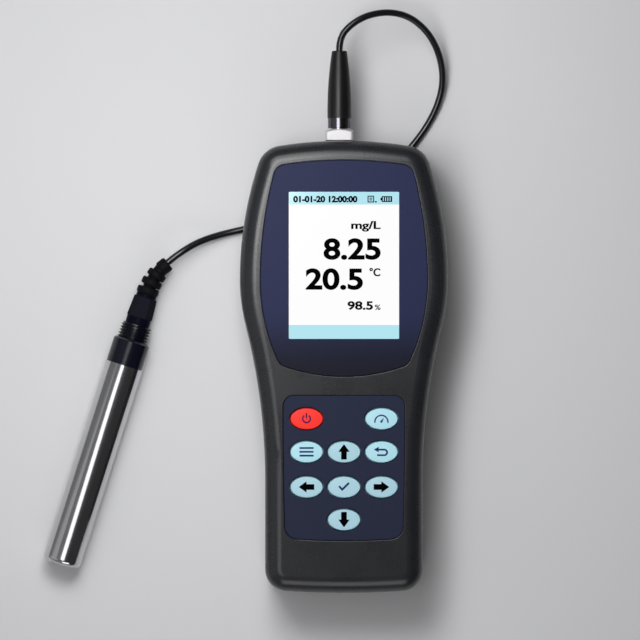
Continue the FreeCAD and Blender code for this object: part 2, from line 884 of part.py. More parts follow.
def make_key(name, x, y):
    """A crowned oval key with a flange that keeps it behind the panel."""
    body = new_body(name)
    flange = new_sketch(body, "XY_Plane", FLANGE_LOW)
    oval(flange, "0", "0", "key_half_width + flange_edge", "key_half_height + flange_edge")
    pad(body, flange, "flange_thick")
    stem = new_sketch(body, "XY_Plane", FLANGE_LOW)
    oval(stem, "0", "0", "key_half_width", "key_half_height")
    top = f"{PLATE_TOP} - key_drop"
    pad(body, stem, f"{top} - ({FLANGE_LOW})")
    ease_top(body, top, "Fillet", "key_crown")
    bind(body, "Placement.Base.x", x)
    bind(body, "Placement.Base.y", y)


def make_keypad_mat():
    """The rubber sheet on the board, with a raised spot under each key."""
    def sheet_outline(sketch):
        keypad_outline(sketch, "flange_edge")

    body = make_plate("keypad_mat", BOARD_TOP, "mat_thick", sheet_outline)
    spots = new_sketch(body, "XY_Plane", BOARD_TOP)
    key_ovals(spots, "(-flange_edge)")
    pad(body, spots, "mat_thick + mat_boss")


def make_main_board():
    def board(sketch):
        polygon(sketch, [
            ("board_grip_half", "board_low"), ("board_grip_half", "board_step"),
            ("board_head_half", "board_step"), ("board_head_half", "board_top"),
            ("-board_head_half", "board_top"), ("-board_head_half", "board_step"),
            ("-board_grip_half", "board_step"), ("-board_grip_half", "board_low"),
        ])
        circles(sketch, BOARD_SCREWS, "board_screw")

    make_plate("main_board", BOARD_LOW, "board_thick", board)


def make_board_components():
    """The larger components on the rear face of the board, each standing on it."""
    pieces = []
    for name in CHIPS:
        where = place(f"{name}_across - {name}_width / 2", f"{name}_up - {name}_height / 2",
                      f"{BOARD_LOW} - {name}_thick")
        pieces.append(primitive("Box", name, where, Length=f"{name}_width", Width=f"{name}_height",
                                Height=f"{name}_thick"))
    pieces += [can("crystal"), can("buzzer")]
    finish(joined("components", "Compound", pieces), "board_components")


def can(name):
    """A round component that stands on the rear face of the board."""
    where = place(f"{name}_across", f"{name}_up", f"{BOARD_LOW} - {name}_thick")
    return primitive("Cylinder", name, where, Radius=f"{name}_radius", Height=f"{name}_thick")


def make_clock_cell():
    """The coin cell that keeps the clock running, on the rear face of the board."""
    finish(can("coin"), "clock_cell")


def screw(name, x, y, seat, head_radius, head_thick, shank_radius, reach, up=1):
    """A socket head screw that points up, its head below the seat."""
    head = primitive("Cylinder", f"{name}_head", place(x, y, f"{seat} - {head_thick}"),
                     Radius=head_radius, Height=head_thick)
    shank = primitive("Cylinder", f"{name}_shank", place(x, y, seat), Radius=shank_radius, Height=reach)
    drive = primitive("Prism", f"{name}_drive", place(x, y, f"{seat} - {head_thick} - 1"),
                      Circumradius=f"{head_radius} / 2", Height=f"1 + {head_thick} * 0.6")
    drive.Polygon = 6
    whole = joined(f"{name}_solid", "MultiFuse", [head, shank])
    cut = doc.addObject("Part::Cut", name)
    cut.Base = whole
    cut.Tool = drive
    return cut


def make_screws():
    case = [
        screw(f"case_screw_{number}", x, y, "screw_seat", "screw_head", "screw_head_thick", "screw_radius",
              "screw_reach")
        for number, (x, y) in enumerate(CASE_SCREWS)
    ]
    finish(joined("case_screw_group", "Compound", case), "case_screws")
    board = [
        screw(f"board_screw_{number}", x, y, BOARD_LOW, "board_screw * 1.8", "small_head_thick",
              "board_screw",
              "board_thick + wall - plate_gap")
        for number, (x, y) in enumerate(BOARD_SCREWS)
    ]
    finish(joined("board_screw_group", "Compound", board), "board_screws")
    door = [
        screw(f"door_screw_{number}", x, y, "door_sunk + door_thick - door_screw_floor", "door_screw_head",
              "small_head_thick", "door_screw", "door_screw_floor + seal_thick + ledge_thick")
        for number, (x, y) in enumerate(DOOR_SCREWS)
    ]
    finish(joined("door_screw_group", "Compound", door), "door_screws")


def make_battery_bay():
    """The tray over the battery opening, with its cells and contacts."""
    def outer(sketch):
        rounded_rectangle(sketch, "0", "bay_up", "bay_half_width + bay_wall", "bay_half_length + bay_wall",
                          "door_corner")

    body = make_plate("battery_tray", LEDGE_TOP, f"{TRAY_ROOF} + bay_wall - ({LEDGE_TOP})", outer)
    inside = new_sketch(body, "XY_Plane")
    rounded_rectangle(inside, "0", "bay_up", "bay_half_width", "bay_half_length", "door_corner")
    pocket(body, inside, TRAY_ROOF, upwards=True)

    cells, contacts = [], []
    for number in (-1, 0, 1):
        across = f"{number} * cell_pitch"
        turn = FreeCAD.Rotation(Vector(1, 0, 0), -90 if number else 90)
        facing = 1 if number else -1
        start = place(across, f"bay_up - {facing} * cell_length / 2", CELL_HEIGHT, turn)
        label = f"cell_{number + 2}"
        case = primitive("Cylinder", f"{label}_case", start, Radius="cell_radius",
                         Height="cell_length - nub_length")
        nub = primitive("Cylinder", f"{label}_nub", start, Radius="nub_radius", Height="cell_length")
        cells.append(joined(label, "MultiFuse", [case, nub]))
        for end in (1, -1):
            wall_y = f"bay_up + {end} * bay_half_length"
            low = place(f"{across} - contact_half", f"{wall_y} - {(end + 1) / 2} * contact_thick",
                        f"{CELL_HEIGHT} - contact_half")
            plate = primitive("Box", f"{label}_plate_{end + 1}", low, Length="2 * contact_half",
                              Width="contact_thick", Height="2 * contact_half")
            inward = FreeCAD.Rotation(Vector(1, 0, 0), 90 * end)
            spring_start = place(across, f"{wall_y} - {end} * contact_thick / 2", CELL_HEIGHT, inward)
            reach = "bay_half_length - cell_length / 2 - contact_thick / 2 - cell_gap"
            spring = primitive("Cone", f"{label}_spring_{end + 1}", spring_start,
                               Radius1="spring_wide", Radius2="spring_narrow", Height=reach)
            contacts.append(joined(f"{label}_contact_{end + 1}", "MultiFuse", [plate, spring]))
    finish(joined("cell_group", "Compound", cells), "batteries")
    finish(joined("contact_group", "Compound", contacts), "battery_contacts")


def make_battery_door():
    def plate(sketch):
        rounded_rectangle(sketch, "0", "bay_up", "door_half_width", "door_half_length", "door_corner")
        circles(sketch, DOOR_SCREWS, "door_screw")

    def ring(sketch):
        rounded_rectangle(sketch, "0", "bay_up", "bay_half_width + seal_width",
                          "bay_half_length + seal_width", "door_corner")
        rounded_rectangle(sketch, "0", "bay_up", "bay_half_width", "bay_half_length", "door_corner")

    body = make_plate("battery_door", "door_sunk", "door_thick", plate)
    wells = new_sketch(body, "XY_Plane", "door_sunk")
    circles(wells, DOOR_SCREWS, "door_screw_head")
    pocket(body, wells, "door_thick - door_screw_floor", upwards=True)
    doc.recompute()
    face = value("door_sunk")
    reach = value("door_half_width - door_corner")
    sides = edges_where(body.Shape, lambda point: same(point.z, face) and on_door_outline(point, reach))
    dress(body, "Fillet", body.Tip, sides, "Radius", "door_edge")
    make_plate("door_seal", "door_sunk + door_thick", "seal_thick", ring)


def on_door_outline(point, reach):
    """True outside the ring of screw wells, which lie well inside the door's outline."""
    along = abs(point.y - value("bay_up"))
    return abs(point.x) > reach or along > value("door_screw_along + door_screw_head")


ALONG_Y = FreeCAD.Rotation(Vector(1, 0, 0), -90)


def make_socket():
    """The socket that the probe plugs into, held in the top end by a ring nut and a washer."""
    where = place("socket_across", "0", "socket_height", ALONG_Y)
    wall_face = "case_top - wall - door_gap"
    shell = turned("probe_socket", [
        ("insert_radius", SOCKET_BACK), ("socket_flange", SOCKET_BACK), ("socket_flange", wall_face),
        ("socket_radius", wall_face), ("socket_radius", SOCKET_MOUTH), ("socket_bore", SOCKET_MOUTH),
        ("socket_bore", SOCKET_FLOOR), ("insert_radius", SOCKET_FLOOR),
    ])
    insert = turned("socket_insert", [
        ("0", SOCKET_BACK), ("insert_radius", SOCKET_BACK), ("insert_radius", SOCKET_FLOOR),
        ("0", SOCKET_FLOOR),
    ])
    holes = new_sketch(insert, "XY_Plane", f"{SOCKET_BACK} - wall")
    circles(holes, pin_places(), "pin_radius")
    pocket(insert, holes, "2 * wall + insert_thick", upwards=True)
    washer = turned("socket_washer", [
        ("socket_radius", NUT_SEAT), ("washer_radius", NUT_SEAT), ("washer_radius", NUT_LOW),
        ("socket_radius", NUT_LOW),
    ])
    nut = make_nut()
    for body in (shell, insert, washer, nut):
        body.Placement = where
    pins = []
    for number, (x, y) in enumerate(pin_places()):
        spot = where.multiply(place(x, y, f"{SOCKET_BACK} - wall"))
        pins.append(primitive("Cylinder", f"pin_{number}", spot, Radius="pin_radius",
                              Height=f"{PIN_END} - ({SOCKET_BACK}) + wall"))
    finish(joined("pin_group", "Compound", pins), "socket_pins")


def make_nut():
    """The socket's square nut, its corners rounded and its outer end chamfered all round."""
    nut = new_body("socket_nut")
    blank = new_sketch(nut, "XY_Plane", NUT_LOW)
    rounded_rectangle(blank, "0", "0", "nut_half", "nut_half", "nut_corner")
    circle(blank, "0", "0", "socket_radius")
    pad(nut, blank, "nut_height")
    cone = new_sketch(nut, "XZ_Plane")
    polygon(cone, [
        ("nut_chamfer_start", NUT_TOP),
        ("2 * nut_half", f"{NUT_TOP} - (2 * nut_half - nut_chamfer_start) / 2"),
        ("2 * nut_half", NUT_TOP),
    ])
    chamfer = nut.newObject("PartDesign::Groove", "nut_chamfer")
    chamfer.Profile = cone
    chamfer.ReferenceAxis = (cone, ["V_Axis"])
    chamfer.Angle = 360
    return nut


def pin_places():
    return [("pin_ring", "0"), ("0", "pin_ring"), ("-pin_ring", "0"), ("0", "-pin_ring")]


def make_plug():
    """The plug: a metal shell whose nose is in the socket, and a tapered boot behind it."""
    where = place("socket_across", "0", "socket_height", ALONG_Y)
    shell = turned("plug_shell", [
        ("plug_bore", PLUG_NOSE), ("socket_bore - plug_gap", PLUG_NOSE),
        ("socket_bore - plug_gap", PLUG_FACE),
        ("plug_radius", PLUG_FACE), ("plug_radius", PLUG_END), ("plug_bore", PLUG_END),
    ])
    insert = turned("plug_insert", [
        ("0", PLUG_NOSE), ("plug_bore", PLUG_NOSE), ("plug_bore", PLUG_END), ("0", PLUG_END),
    ])
    holes = new_sketch(insert, "XY_Plane", f"{PLUG_NOSE} - wall")
    circles(holes, pin_places(), "pin_radius + plug_gap")
    pocket(insert, holes, f"{PIN_END} - ({PLUG_NOSE}) + wall + 1", upwards=True)
    boot = make_boot()
    for body in (shell, insert, boot):
        body.Placement = where


def make_boot():
    """The plug's boot: straight at the plug, then drawn in along an arc towards the cable."""
    boot = new_body("plug_boot")
    sketch = new_sketch(boot, "XZ_Plane")
    start = f"{PLUG_END} + boot_straight"
    length = value("boot_length - boot_straight")
    drop = value("boot_radius - boot_tip")
    bow = (length ** 2 + drop ** 2) / (2 * drop)
    centre = Vector(value("boot_radius") - bow, value(start), 0)
    corners = [("boot_tip", BOOT_END), ("0", BOOT_END), ("0", PLUG_END), ("boot_radius", PLUG_END),
               ("boot_radius", start)]
    points = [Vector(value(x), value(y), 0) for x, y in corners]
    for one, two in zip(points, points[1:]):
        sketch.addGeometry(Part.LineSegment(one, two))
    whole = Part.Circle(centre, Vector(0, 0, 1), bow)
    arc = sketch.addGeometry(Part.ArcOfCircle(whole, 0, math.asin(length / bow)))
    for index in range(len(points) - 2):
        sketch.addConstraint(Sketcher.Constraint("Coincident", index, 2, index + 1, 1))
    sketch.addConstraint(Sketcher.Constraint("Tangent", len(points) - 2, 2, arc, 1))
    sketch.addConstraint(Sketcher.Constraint("Coincident", arc, 2, 0, 1))
    for index, (x, y) in enumerate(corners[:-1]):
        dimension(sketch, "DistanceX", -1, 1, index, 1, size=x)
        dimension(sketch, "DistanceY", -1, 1, index, 1, size=y)
    dimension(sketch, "DistanceY", -1, 1, arc, 1, size=start)
    feature = boot.newObject("PartDesign::Revolution", "boot_revolution")
    feature.Profile = sketch
    feature.ReferenceAxis = (sketch, ["V_Axis"])
    feature.Angle = 360
    ease_top(boot, BOOT_END, "Fillet", "boot_edge")
    return boot


# The cable's route: the corners of its straight runs, from the boot to the probe's strain relief.
# It leaves the boot level, turns back over the table and passes under the bevel of the head.
CABLE_ROUTE = [
    (-2.0, 139.7, 22.6), (-2.0, 145.2, 22.6), (2.8, 151.2, 22.2), (10.4, 155.6, 20.8), (20.0, 157.2, 18.2),
    (29.0, 155.2, 15.2), (36.4, 149.4, 12.0), (41.2, 141.8, 8.8), (43.7, 133.4, 6.0), (44.0, 124.8, 3.8),
    (41.8, 116.2, 2.3), (37.7, 107.8, 1.5), (31.6, 99.2, 1.5), (23.8, 90.6, 1.5), (14.2, 82.8, 1.5),
    (2.6, 75.8, 1.5), (-10.8, 69.9, 1.5), (-25.6, 65.2, 1.5), (-40.6, 61.7, 1.7), (-53.6, 59.0, 3.0),
    (-64.6, 55.4, 5.9), (-72.9, 50.3, 8.5), (-77.74, 46.47, 8.5),
]


def make_cable():
    """A round tube along straight runs that are joined by tangent arcs."""
    corners = [Vector(*corner) for corner in CABLE_ROUTE]
    radius = value("cable_radius")
    edges = []
    bends = []
    start = corners[0]
    for before, corner, after in zip(corners, corners[1:], corners[2:]):
        arrive = (corner - before).normalize()
        leave = (after - corner).normalize()
        half_turn = arrive.getAngle(leave) / 2
        trim = 0.45 * min((corner - before).Length, (after - corner).Length)
        bends.append(trim / math.tan(half_turn))
        arc_start = corner - arrive * trim
        arc_end = corner + leave * trim
        inwards = (leave - arrive).normalize()
        sagitta = bends[-1] * (1 / math.cos(half_turn) - 1)
        edges.append(Part.LineSegment(start, arc_start).toShape())
        edges.append(Part.Arc(arc_start, corner + inwards * sagitta, arc_end).toShape())
        start = arc_end
    edges.append(Part.LineSegment(start, corners[-1]).toShape())
    path = Part.Wire(edges)
    section = Part.Wire(Part.Circle(corners[0], corners[1] - corners[0], radius).toShape())
    cable = doc.addObject("Part::Feature", "cable")
    cable.Shape = path.makePipeShell([section], True, False)
    finish(cable, "probe_cable")
    expected = math.pi * radius ** 2 * path.Length
    print("cable length", round(path.Length, 1))
    print("cable volume", round(cable.Shape.Volume, 1), "of", round(expected, 1))
    print("cable bends", [round(bend, 1) for bend in bends])


def probe_frame():
    """The probe's own frame: Z runs down the probe to its tip, which lies on the table."""
    lean = FreeCAD.Rotation(Vector(0, 0, 1), -value("probe_lean"))
    down = FreeCAD.Rotation(Vector(1, 0, 0), 90)
    return place("probe_across", "probe_up", "tube_radius", lean.multiply(down))


# places down the probe's axis
NECK_TOP = "-(collar_length + neck_length)"
GLAND_TOP = f"{NECK_TOP} - gland_length"
TIP_FLOOR = "tube_length - tip_thick"
HOLDER_END = "tube_length - cap_depth"
NOSE_END = "tube_length - nose_depth"
FILM_FACE = "tube_length - film_depth"
SPIGOT = "tube_radius - tube_wall - plate_gap"


def hexagon(sketch, radius):
    turns = [math.radians(60 * number) for number in range(6)]
    ring = [(math.cos(turn), math.sin(turn)) for turn in turns]
    polygon(sketch, [(f"{x:.6f} * ({radius})", f"{y:.6f} * ({radius})") for x, y in ring])


def make_probe():
    """The probe: steel tube, collar, threaded neck and cable gland, with the sensing parts inside."""
    where = probe_frame()
    inner = "tube_radius - tube_wall"
    tube = turned("probe_tube", [
        (inner, "0"), ("tube_radius", "0"), ("tube_radius", "tube_length"), ("mouth_radius", "tube_length"),
        ("mouth_radius", TIP_FLOOR), (inner, TIP_FLOOR),
    ])
    doc.recompute()
    tip = value("tube_length")
    outer = value("tube_radius")
    rim = edges_where(tube.Shape, lambda point: (
        same(point.z, tip) and same(math.hypot(point.x, point.y), outer)))
    dress(tube, "Fillet", tube.Tip, rim, "Radius", "tube_rim")
    groove_end = "groove_start + groove_width"
    groove = f"{SPIGOT} - groove_depth"
    collar = turned("probe_collar", [
        ("0", "-(collar_length)"), ("collar_radius - collar_edge", "-(collar_length)"),
        ("collar_radius", "collar_edge - collar_length"), ("collar_radius", "0"), (SPIGOT, "0"),
        (SPIGOT, "groove_start"), (groove, "groove_start"), (groove, groove_end), (SPIGOT, groove_end),
        (SPIGOT, "spigot_length"), ("0", "spigot_length"),
    ])
    seal = turned("collar_seal", [
        (groove, "groove_start"), (SPIGOT, "groove_start"), (SPIGOT, groove_end), (groove, groove_end),
    ])
    undercut = "neck_radius - neck_undercut"
    neck = turned("probe_neck", [
        ("0", NECK_TOP), ("neck_radius - neck_edge", NECK_TOP), ("neck_radius", f"{NECK_TOP} + neck_edge"),
        ("neck_radius", "-(collar_length) - neck_undercut"), (undercut, "-(collar_length) - neck_undercut"),
        (undercut, "-(collar_length)"), ("0", "-(collar_length)"),
    ])
    pieces = [tube, collar, seal, neck, make_gland(), *make_sensor()]
    for body in pieces:
        body.Placement = where


def make_gland():
    """The cable gland: a hexagon that widens downwards, between a ring at its top and a round base."""
    gland = new_body("gland_body")
    wide = new_sketch(gland, "XY_Plane", f"{NECK_TOP} - gland_base_length")
    hexagon(wide, "gland_radius")
    narrow = new_sketch(gland, "XY_Plane", f"{GLAND_TOP} + gland_ring_length")
    hexagon(narrow, "gland_top")
    loft = gland.newObject("PartDesign::AdditiveLoft", "gland_loft")
    loft.Profile = wide
    loft.Sections = [narrow]
    loft.Ruled = True
    base = new_sketch(gland, "XY_Plane", f"{NECK_TOP} - gland_base_length")
    circle(base, "0", "0", "gland_base")
    pad(gland, base, "gland_base_length")
    ring = new_sketch(gland, "XY_Plane", GLAND_TOP)
    circle(ring, "0", "0", "gland_ring")
    pad(gland, ring, "gland_ring_length")
    return gland


def make_sensor():
    """The sensing end: a holder with a silver and a gold electrode behind a screwed cap and its membrane."""
    holder = turned("electrode_holder", [
        ("0", "spigot_length"), (SPIGOT, "spigot_length"), (SPIGOT, HOLDER_END), ("nose_radius", HOLDER_END),
        ("nose_radius", NOSE_END), ("0", NOSE_END),
    ])
    anode_end = f"{HOLDER_END} + anode_length"
    anode = turned("silver_anode", [
        ("nose_radius", HOLDER_END), ("anode_radius", HOLDER_END), ("anode_radius", anode_end),
        ("nose_radius", anode_end),
    ])
    cathode = turned("gold_cathode", [
        ("0", NOSE_END), ("cathode_radius", NOSE_END), ("cathode_radius", FILM_FACE), ("0", FILM_FACE),
    ])
    rim = "mouth_radius - plate_gap"
    cap = turned("membrane_cap", [
        ("cap_bore", HOLDER_END), (SPIGOT, HOLDER_END), (SPIGOT, TIP_FLOOR), (rim, TIP_FLOOR),
        (rim, "tube_length - cap_sunk"), ("film_radius", "tube_length - cap_sunk"),
        ("film_radius", FILM_FACE), ("cap_hole", FILM_FACE), ("cap_hole", "tube_length - cap_floor"),
        ("cap_bore", "tube_length - cap_floor"),
    ])
    film_top = f"{FILM_FACE} + film_thick"
    membrane = turned("membrane", [
        ("0", FILM_FACE), ("film_radius", FILM_FACE), ("film_radius", film_top), ("0", film_top),
    ])
    return holder, anode, cathode, cap, membrane


RELIEF_RINGS = 3


def make_strain_relief():
    """The sleeve on the gland, bent over to the cable: a core, three thick rings and a plain cuff."""
    where = probe_frame()
    bend = value("relief_bend")
    centre = Vector(bend, 0, value(GLAND_TOP))

    def along(distance):
        """A frame on the sleeve's middle line, so far from the gland, its Z towards the gland."""
        turn = FreeCAD.Rotation(Vector(0, 1, 0), -math.degrees(value(distance) / bend))
        spot = centre + turn.multVec(Vector(-bend, 0, 0))
        return where.multiply(FreeCAD.Placement(spot, turn))

    laid = FreeCAD.Placement(centre, FreeCAD.Rotation(Vector(1, 0, 0), 90).multiply(
        FreeCAD.Rotation(Vector(0, 0, 1), 180)))
    core = primitive("Torus", "relief_core", where.multiply(laid), Radius1="relief_bend",
                     Radius2="relief_core",
                     Angle3="relief_turn")
    cuff_end = along("relief_bend * relief_turn * 3.14159265 / 180")
    sleeves = [("cuff", cuff_end, "cuff_radius", "cuff_length")]
    for number in range(RELIEF_RINGS):
        radius = f"ring_wide + (ring_narrow - ring_wide) * {number} / {RELIEF_RINGS - 1}"
        spot = along(f"{number} * ring_pitch").multiply(place("0", "0", "-(ring_thick)"))
        sleeves.append((f"ring_{number}", spot, radius, "ring_thick"))
    pieces = [core]
    for name, spot, radius, thick in sleeves:
        blank = primitive("Cylinder", f"relief_{name}", spot, Radius=radius, Height=thick)
        rounded = doc.addObject("Part::Fillet", f"relief_{name}_rounded")
        rounded.Base = blank
        doc.recompute()
        rims = [number for number, edge in enumerate(blank.Shape.Edges, start=1) if edge.Closed]
        rounded.Edges = [(number, value("ring_round"), value("ring_round")) for number in rims]
        pieces.append(rounded)
    finish(joined("relief", "MultiFuse", pieces), "strain_relief")


make_front_shell()
make_rear_shell()
make_shell_gasket()
make_display()
make_keypad_panel()
for key, (x, y) in KEYS.items():
    make_key(key, x, y)
make_keypad_mat()
make_main_board()
make_board_components()
make_clock_cell()
make_screws()
make_battery_bay()
make_battery_door()
make_socket()
make_plug()
make_cable()
make_probe()
make_strain_relief()
doc.recompute()

faults = [thing.Label for thing in doc.Objects if {"Invalid", "Error"} & set(thing.State)]
faults += [part.Label for part in finished if part.Shape.isNull() or not part.Shape.isValid()]
if faults:
    raise RuntimeError(f"these pieces failed: {faults}")

os.makedirs("parts", exist_ok=True)
for part in finished:
    part.Shape.exportStep(f"parts/{part.Label}.step")
print(len(finished), "pieces written")
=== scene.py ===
# %% [markdown]
# # A handheld oxygen meter and its probe
#
# The meter measures how much oxygen is dissolved in water. It has a waisted plastic housing, a colour
# screen, nine oval keys, and a steel probe on a short cable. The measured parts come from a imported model,
# which stays as it is. Here they get their finishes, and the pieces that are too fine for that model, such
# as the marks on the keys, the figures on the screen, the thread and the cable, are modelled round them.
#
# All lengths are in metres. +X is to the right of the screen, +Y runs to the socket, +Z comes out of the
# screen, and the meter lies on its back.

# %% Load the measured parts
import math

import bmesh
import bpy
from mathutils import Matrix, Vector


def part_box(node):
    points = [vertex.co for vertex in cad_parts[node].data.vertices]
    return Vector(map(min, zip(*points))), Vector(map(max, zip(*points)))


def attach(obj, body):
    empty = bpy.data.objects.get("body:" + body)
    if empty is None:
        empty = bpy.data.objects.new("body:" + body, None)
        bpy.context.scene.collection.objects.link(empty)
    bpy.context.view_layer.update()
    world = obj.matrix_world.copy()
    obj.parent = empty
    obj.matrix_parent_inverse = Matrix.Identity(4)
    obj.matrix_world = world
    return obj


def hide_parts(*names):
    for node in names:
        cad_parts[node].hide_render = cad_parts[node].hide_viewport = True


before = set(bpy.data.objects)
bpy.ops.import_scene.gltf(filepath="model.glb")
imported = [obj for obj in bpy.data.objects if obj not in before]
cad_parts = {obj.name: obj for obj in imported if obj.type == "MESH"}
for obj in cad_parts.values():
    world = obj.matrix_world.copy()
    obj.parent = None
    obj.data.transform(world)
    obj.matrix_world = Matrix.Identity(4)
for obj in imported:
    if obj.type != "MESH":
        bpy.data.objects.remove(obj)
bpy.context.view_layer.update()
bpy.ops.object.select_all(action="DESELECT")
scene = bpy.context.scene
scene.view_settings.view_transform = "Standard"
MM = 0.001

# %% [markdown]
# ## The camera
#
# The photograph looks straight down on the meter from far away, so nearly no side of it shows. A long lens
# high above the table gives that view. One pixel of the photograph is 0.442 mm on the meter, which sets the
# width of the view, and the middle of the frame sets where the camera stands.

# %% Camera
PHOTO_WIDTH = 640
PIXEL = 0.442 * MM
ORIGIN_PIXEL = Vector((343.9, 366.65))
FOCUS_HEIGHT = 26 * MM
CAMERA_DISTANCE = 4.0
SENSOR_WIDTH = 36

view_width = PHOTO_WIDTH * PIXEL
frame_middle = PHOTO_WIDTH / 2
camera_x = (frame_middle - ORIGIN_PIXEL.x) * PIXEL
camera_y = (ORIGIN_PIXEL.y - frame_middle) * PIXEL
bpy.ops.object.camera_add(location=(camera_x, camera_y, FOCUS_HEIGHT + CAMERA_DISTANCE))
camera = bpy.context.object
camera.data.sensor_width = SENSOR_WIDTH
camera.data.lens = SENSOR_WIDTH * CAMERA_DISTANCE / view_width
scene.camera = camera
print("lens in millimetres:", round(camera.data.lens, 1))


# %% [markdown]
# ## The cable
#
# The cable is 3 mm thick and stiff enough to hold wide curves. It leaves the boot level, sinks to the table
# as it turns back, passes under the raised end of the housing and rises to the probe's sleeve. One smooth
# spline follows that route, with a round section, so that no bend shows a corner, and its last stretch
# lies inside the sleeve's cuff. The thickness is in the points' own radius, which Blender also uses for the
# curve's box, and the bevel only makes the section round.

# %% Cable
CABLE_DIAMETER = 3 * MM
CABLE_ROUTE = [
    (-2.0, 139.7, 22.6), (-2.0, 145.2, 22.6), (2.8, 151.2, 22.2), (10.4, 155.6, 20.8), (20.0, 157.2, 18.2),
    (29.0, 155.2, 15.2), (36.4, 149.4, 12.0), (41.2, 141.8, 8.8), (43.7, 133.4, 6.0), (44.0, 124.8, 3.8),
    (41.8, 116.2, 2.3), (37.7, 107.8, 1.5), (31.6, 99.2, 1.5), (23.8, 90.6, 1.5), (14.2, 82.8, 1.5),
    (2.6, 75.8, 1.5), (-10.8, 69.9, 1.5), (-25.6, 65.2, 1.5), (-40.6, 61.7, 1.7), (-53.6, 59.0, 3.0),
    (-64.6, 55.4, 5.9), (-72.9, 50.3, 8.5), (-77.74, 46.47, 8.5), (-80.9, 44.0, 8.5),
]
SPLINE_ORDER = 3
STEPS_ALONG = 16
STEPS_ROUND = 6


def smooth_line(name, points, diameter):
    """A round cord along a spline that has the points as its control points."""
    line = bpy.data.curves.new(name, "CURVE")
    line.dimensions = "3D"
    spline = line.splines.new("NURBS")
    spline.points.add(len(points) - 1)
    for control, point in zip(spline.points, points):
        control.co = (*point, 1)
        control.radius = diameter / 2
    spline.order_u = SPLINE_ORDER
    spline.use_endpoint_u = True
    line.resolution_u = STEPS_ALONG
    line.bevel_depth = 1.0
    line.bevel_resolution = STEPS_ROUND
    line.use_fill_caps = True
    thing = bpy.data.objects.new(name, line)
    scene.collection.objects.link(thing)
    return thing


def centre_points(cord):
    """The points along a cord's own spline, read from the curve without its section."""
    bare = cord.data.copy()
    bare.bevel_depth = 0
    holder = bpy.data.objects.new("bare_line", bare)
    mesh = bpy.data.meshes.new_from_object(holder)
    points = [vertex.co.copy() for vertex in mesh.vertices]
    bpy.data.objects.remove(holder)
    return points


route = [Vector(point) * MM for point in CABLE_ROUTE]
cable = smooth_line("cable", route, CABLE_DIAMETER)
cable_line = centre_points(cable)
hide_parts("probe_cable")
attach(cable, "probe_lead")

# %% [markdown]
# ## Formulas for finishes
#
# A finish is a small network of shader nodes. Wiring each node by hand is long to read, so one class stands
# for a socket and lets a formula be written with ordinary signs, and another holds a material and has one
# method that makes any node.


# %% Sockets and finishes
class Wire:
    """The output of a node. Signs between wires and numbers add Math nodes to the same finish."""

    def __init__(self, finish, socket):
        self.finish = finish
        self.socket = socket

    def math(self, operation, *others):
        return self.finish.node("ShaderNodeMath", {"operation": operation}, [self, *others])

    def __add__(self, other):
        return self.math("ADD", other)

    def __mul__(self, other):
        return self.math("MULTIPLY", other)

    def __truediv__(self, other):
        return self.math("DIVIDE", other)

    def __gt__(self, other):
        return self.math("GREATER_THAN", other)

    def __lt__(self, other):
        return self.math("LESS_THAN", other)


class Finish:
    """A material whose nodes are written as formulas."""

    def __init__(self, name, **constants):
        self.material = bpy.data.materials.new(name)
        self.material.use_nodes = True
        self.tree = self.material.node_tree
        self.shader = self.tree.nodes["Principled BSDF"]
        self.place = self.node("ShaderNodeTexCoord", output="Object")
        self.set(**constants)

    def node(self, kind, settings=None, inputs=(), output=0):
        made = self.tree.nodes.new(kind)
        for name, setting in (settings or {}).items():
            setattr(made, name, setting)
        pairs = inputs.items() if isinstance(inputs, dict) else enumerate(inputs)
        for name, source in pairs:
            self.feed(made.inputs[name], source)
        return Wire(self, made.outputs[output])

    def feed(self, socket, source):
        if isinstance(source, Wire):
            self.tree.links.new(source.socket, socket)
        else:
            socket.default_value = source

    def set(self, **sockets):
        """Feeds the shader's own sockets. base_color stands for Base Color, and so on."""
        for name, source in sockets.items():
            title = name.replace("_", " ").title().replace("Ior", "IOR")
            if isinstance(source, tuple):
                source = (*source, 1)
            self.feed(self.shader.inputs[title], source)

    def axis(self, name):
        return self.node("ShaderNodeSeparateXYZ", inputs=[self.place], output=name)

    def stretched(self, scale, rotation):
        """The object's coordinates, turned and stretched."""
        return self.node("ShaderNodeMapping", {"vector_type": "TEXTURE"},
                         {"Vector": self.place, "Rotation": rotation, "Scale": scale})

    def noise(self, size, vector=None, detail=2.0):
        """Cloudy values about 0.5, one lump about as large as the size."""
        return self.node("ShaderNodeTexNoise", {}, {"Vector": vector or self.place, "Scale": 1 / size,
                                                     "Detail": detail})

    def step(self, source, low, high):
        """0 below low, 1 above high, smooth between them."""
        smooth = {"interpolation_type": "SMOOTHSTEP"}
        return self.node("ShaderNodeMapRange", smooth, [source, low, high, 0.0, 1.0])

    def blend(self, share, first, second):
        """The first colour where the share is 0, the second where it is 1."""
        first = (*first, 1) if isinstance(first, tuple) else first
        second = (*second, 1) if isinstance(second, tuple) else second
        return self.node("ShaderNodeMix", {"data_type": "RGBA"}, {0: share, 6: first, 7: second}, output=2)

    def bump(self, height, depth):
        """Feeds Normal with a height between 0 and 1, worth so many metres."""
        inputs = {"Height": height, "Distance": depth, "Strength": 1.0}
        self.set(normal=self.node("ShaderNodeBump", inputs=inputs))


def linear(part):
    """One part of a screen colour, 0 to 255, as the linear value that a shader takes."""
    share = part / 255
    return share / 12.92 if part <= 10 else ((share + 0.055) / 1.055) ** 2.4


def tone(*parts):
    """A colour as a screen shows it, as the linear colour that a shader takes."""
    return tuple(linear(part) for part in parts)


print("a mid grey of 128 is", round(tone(128)[0], 3), "in a shader")

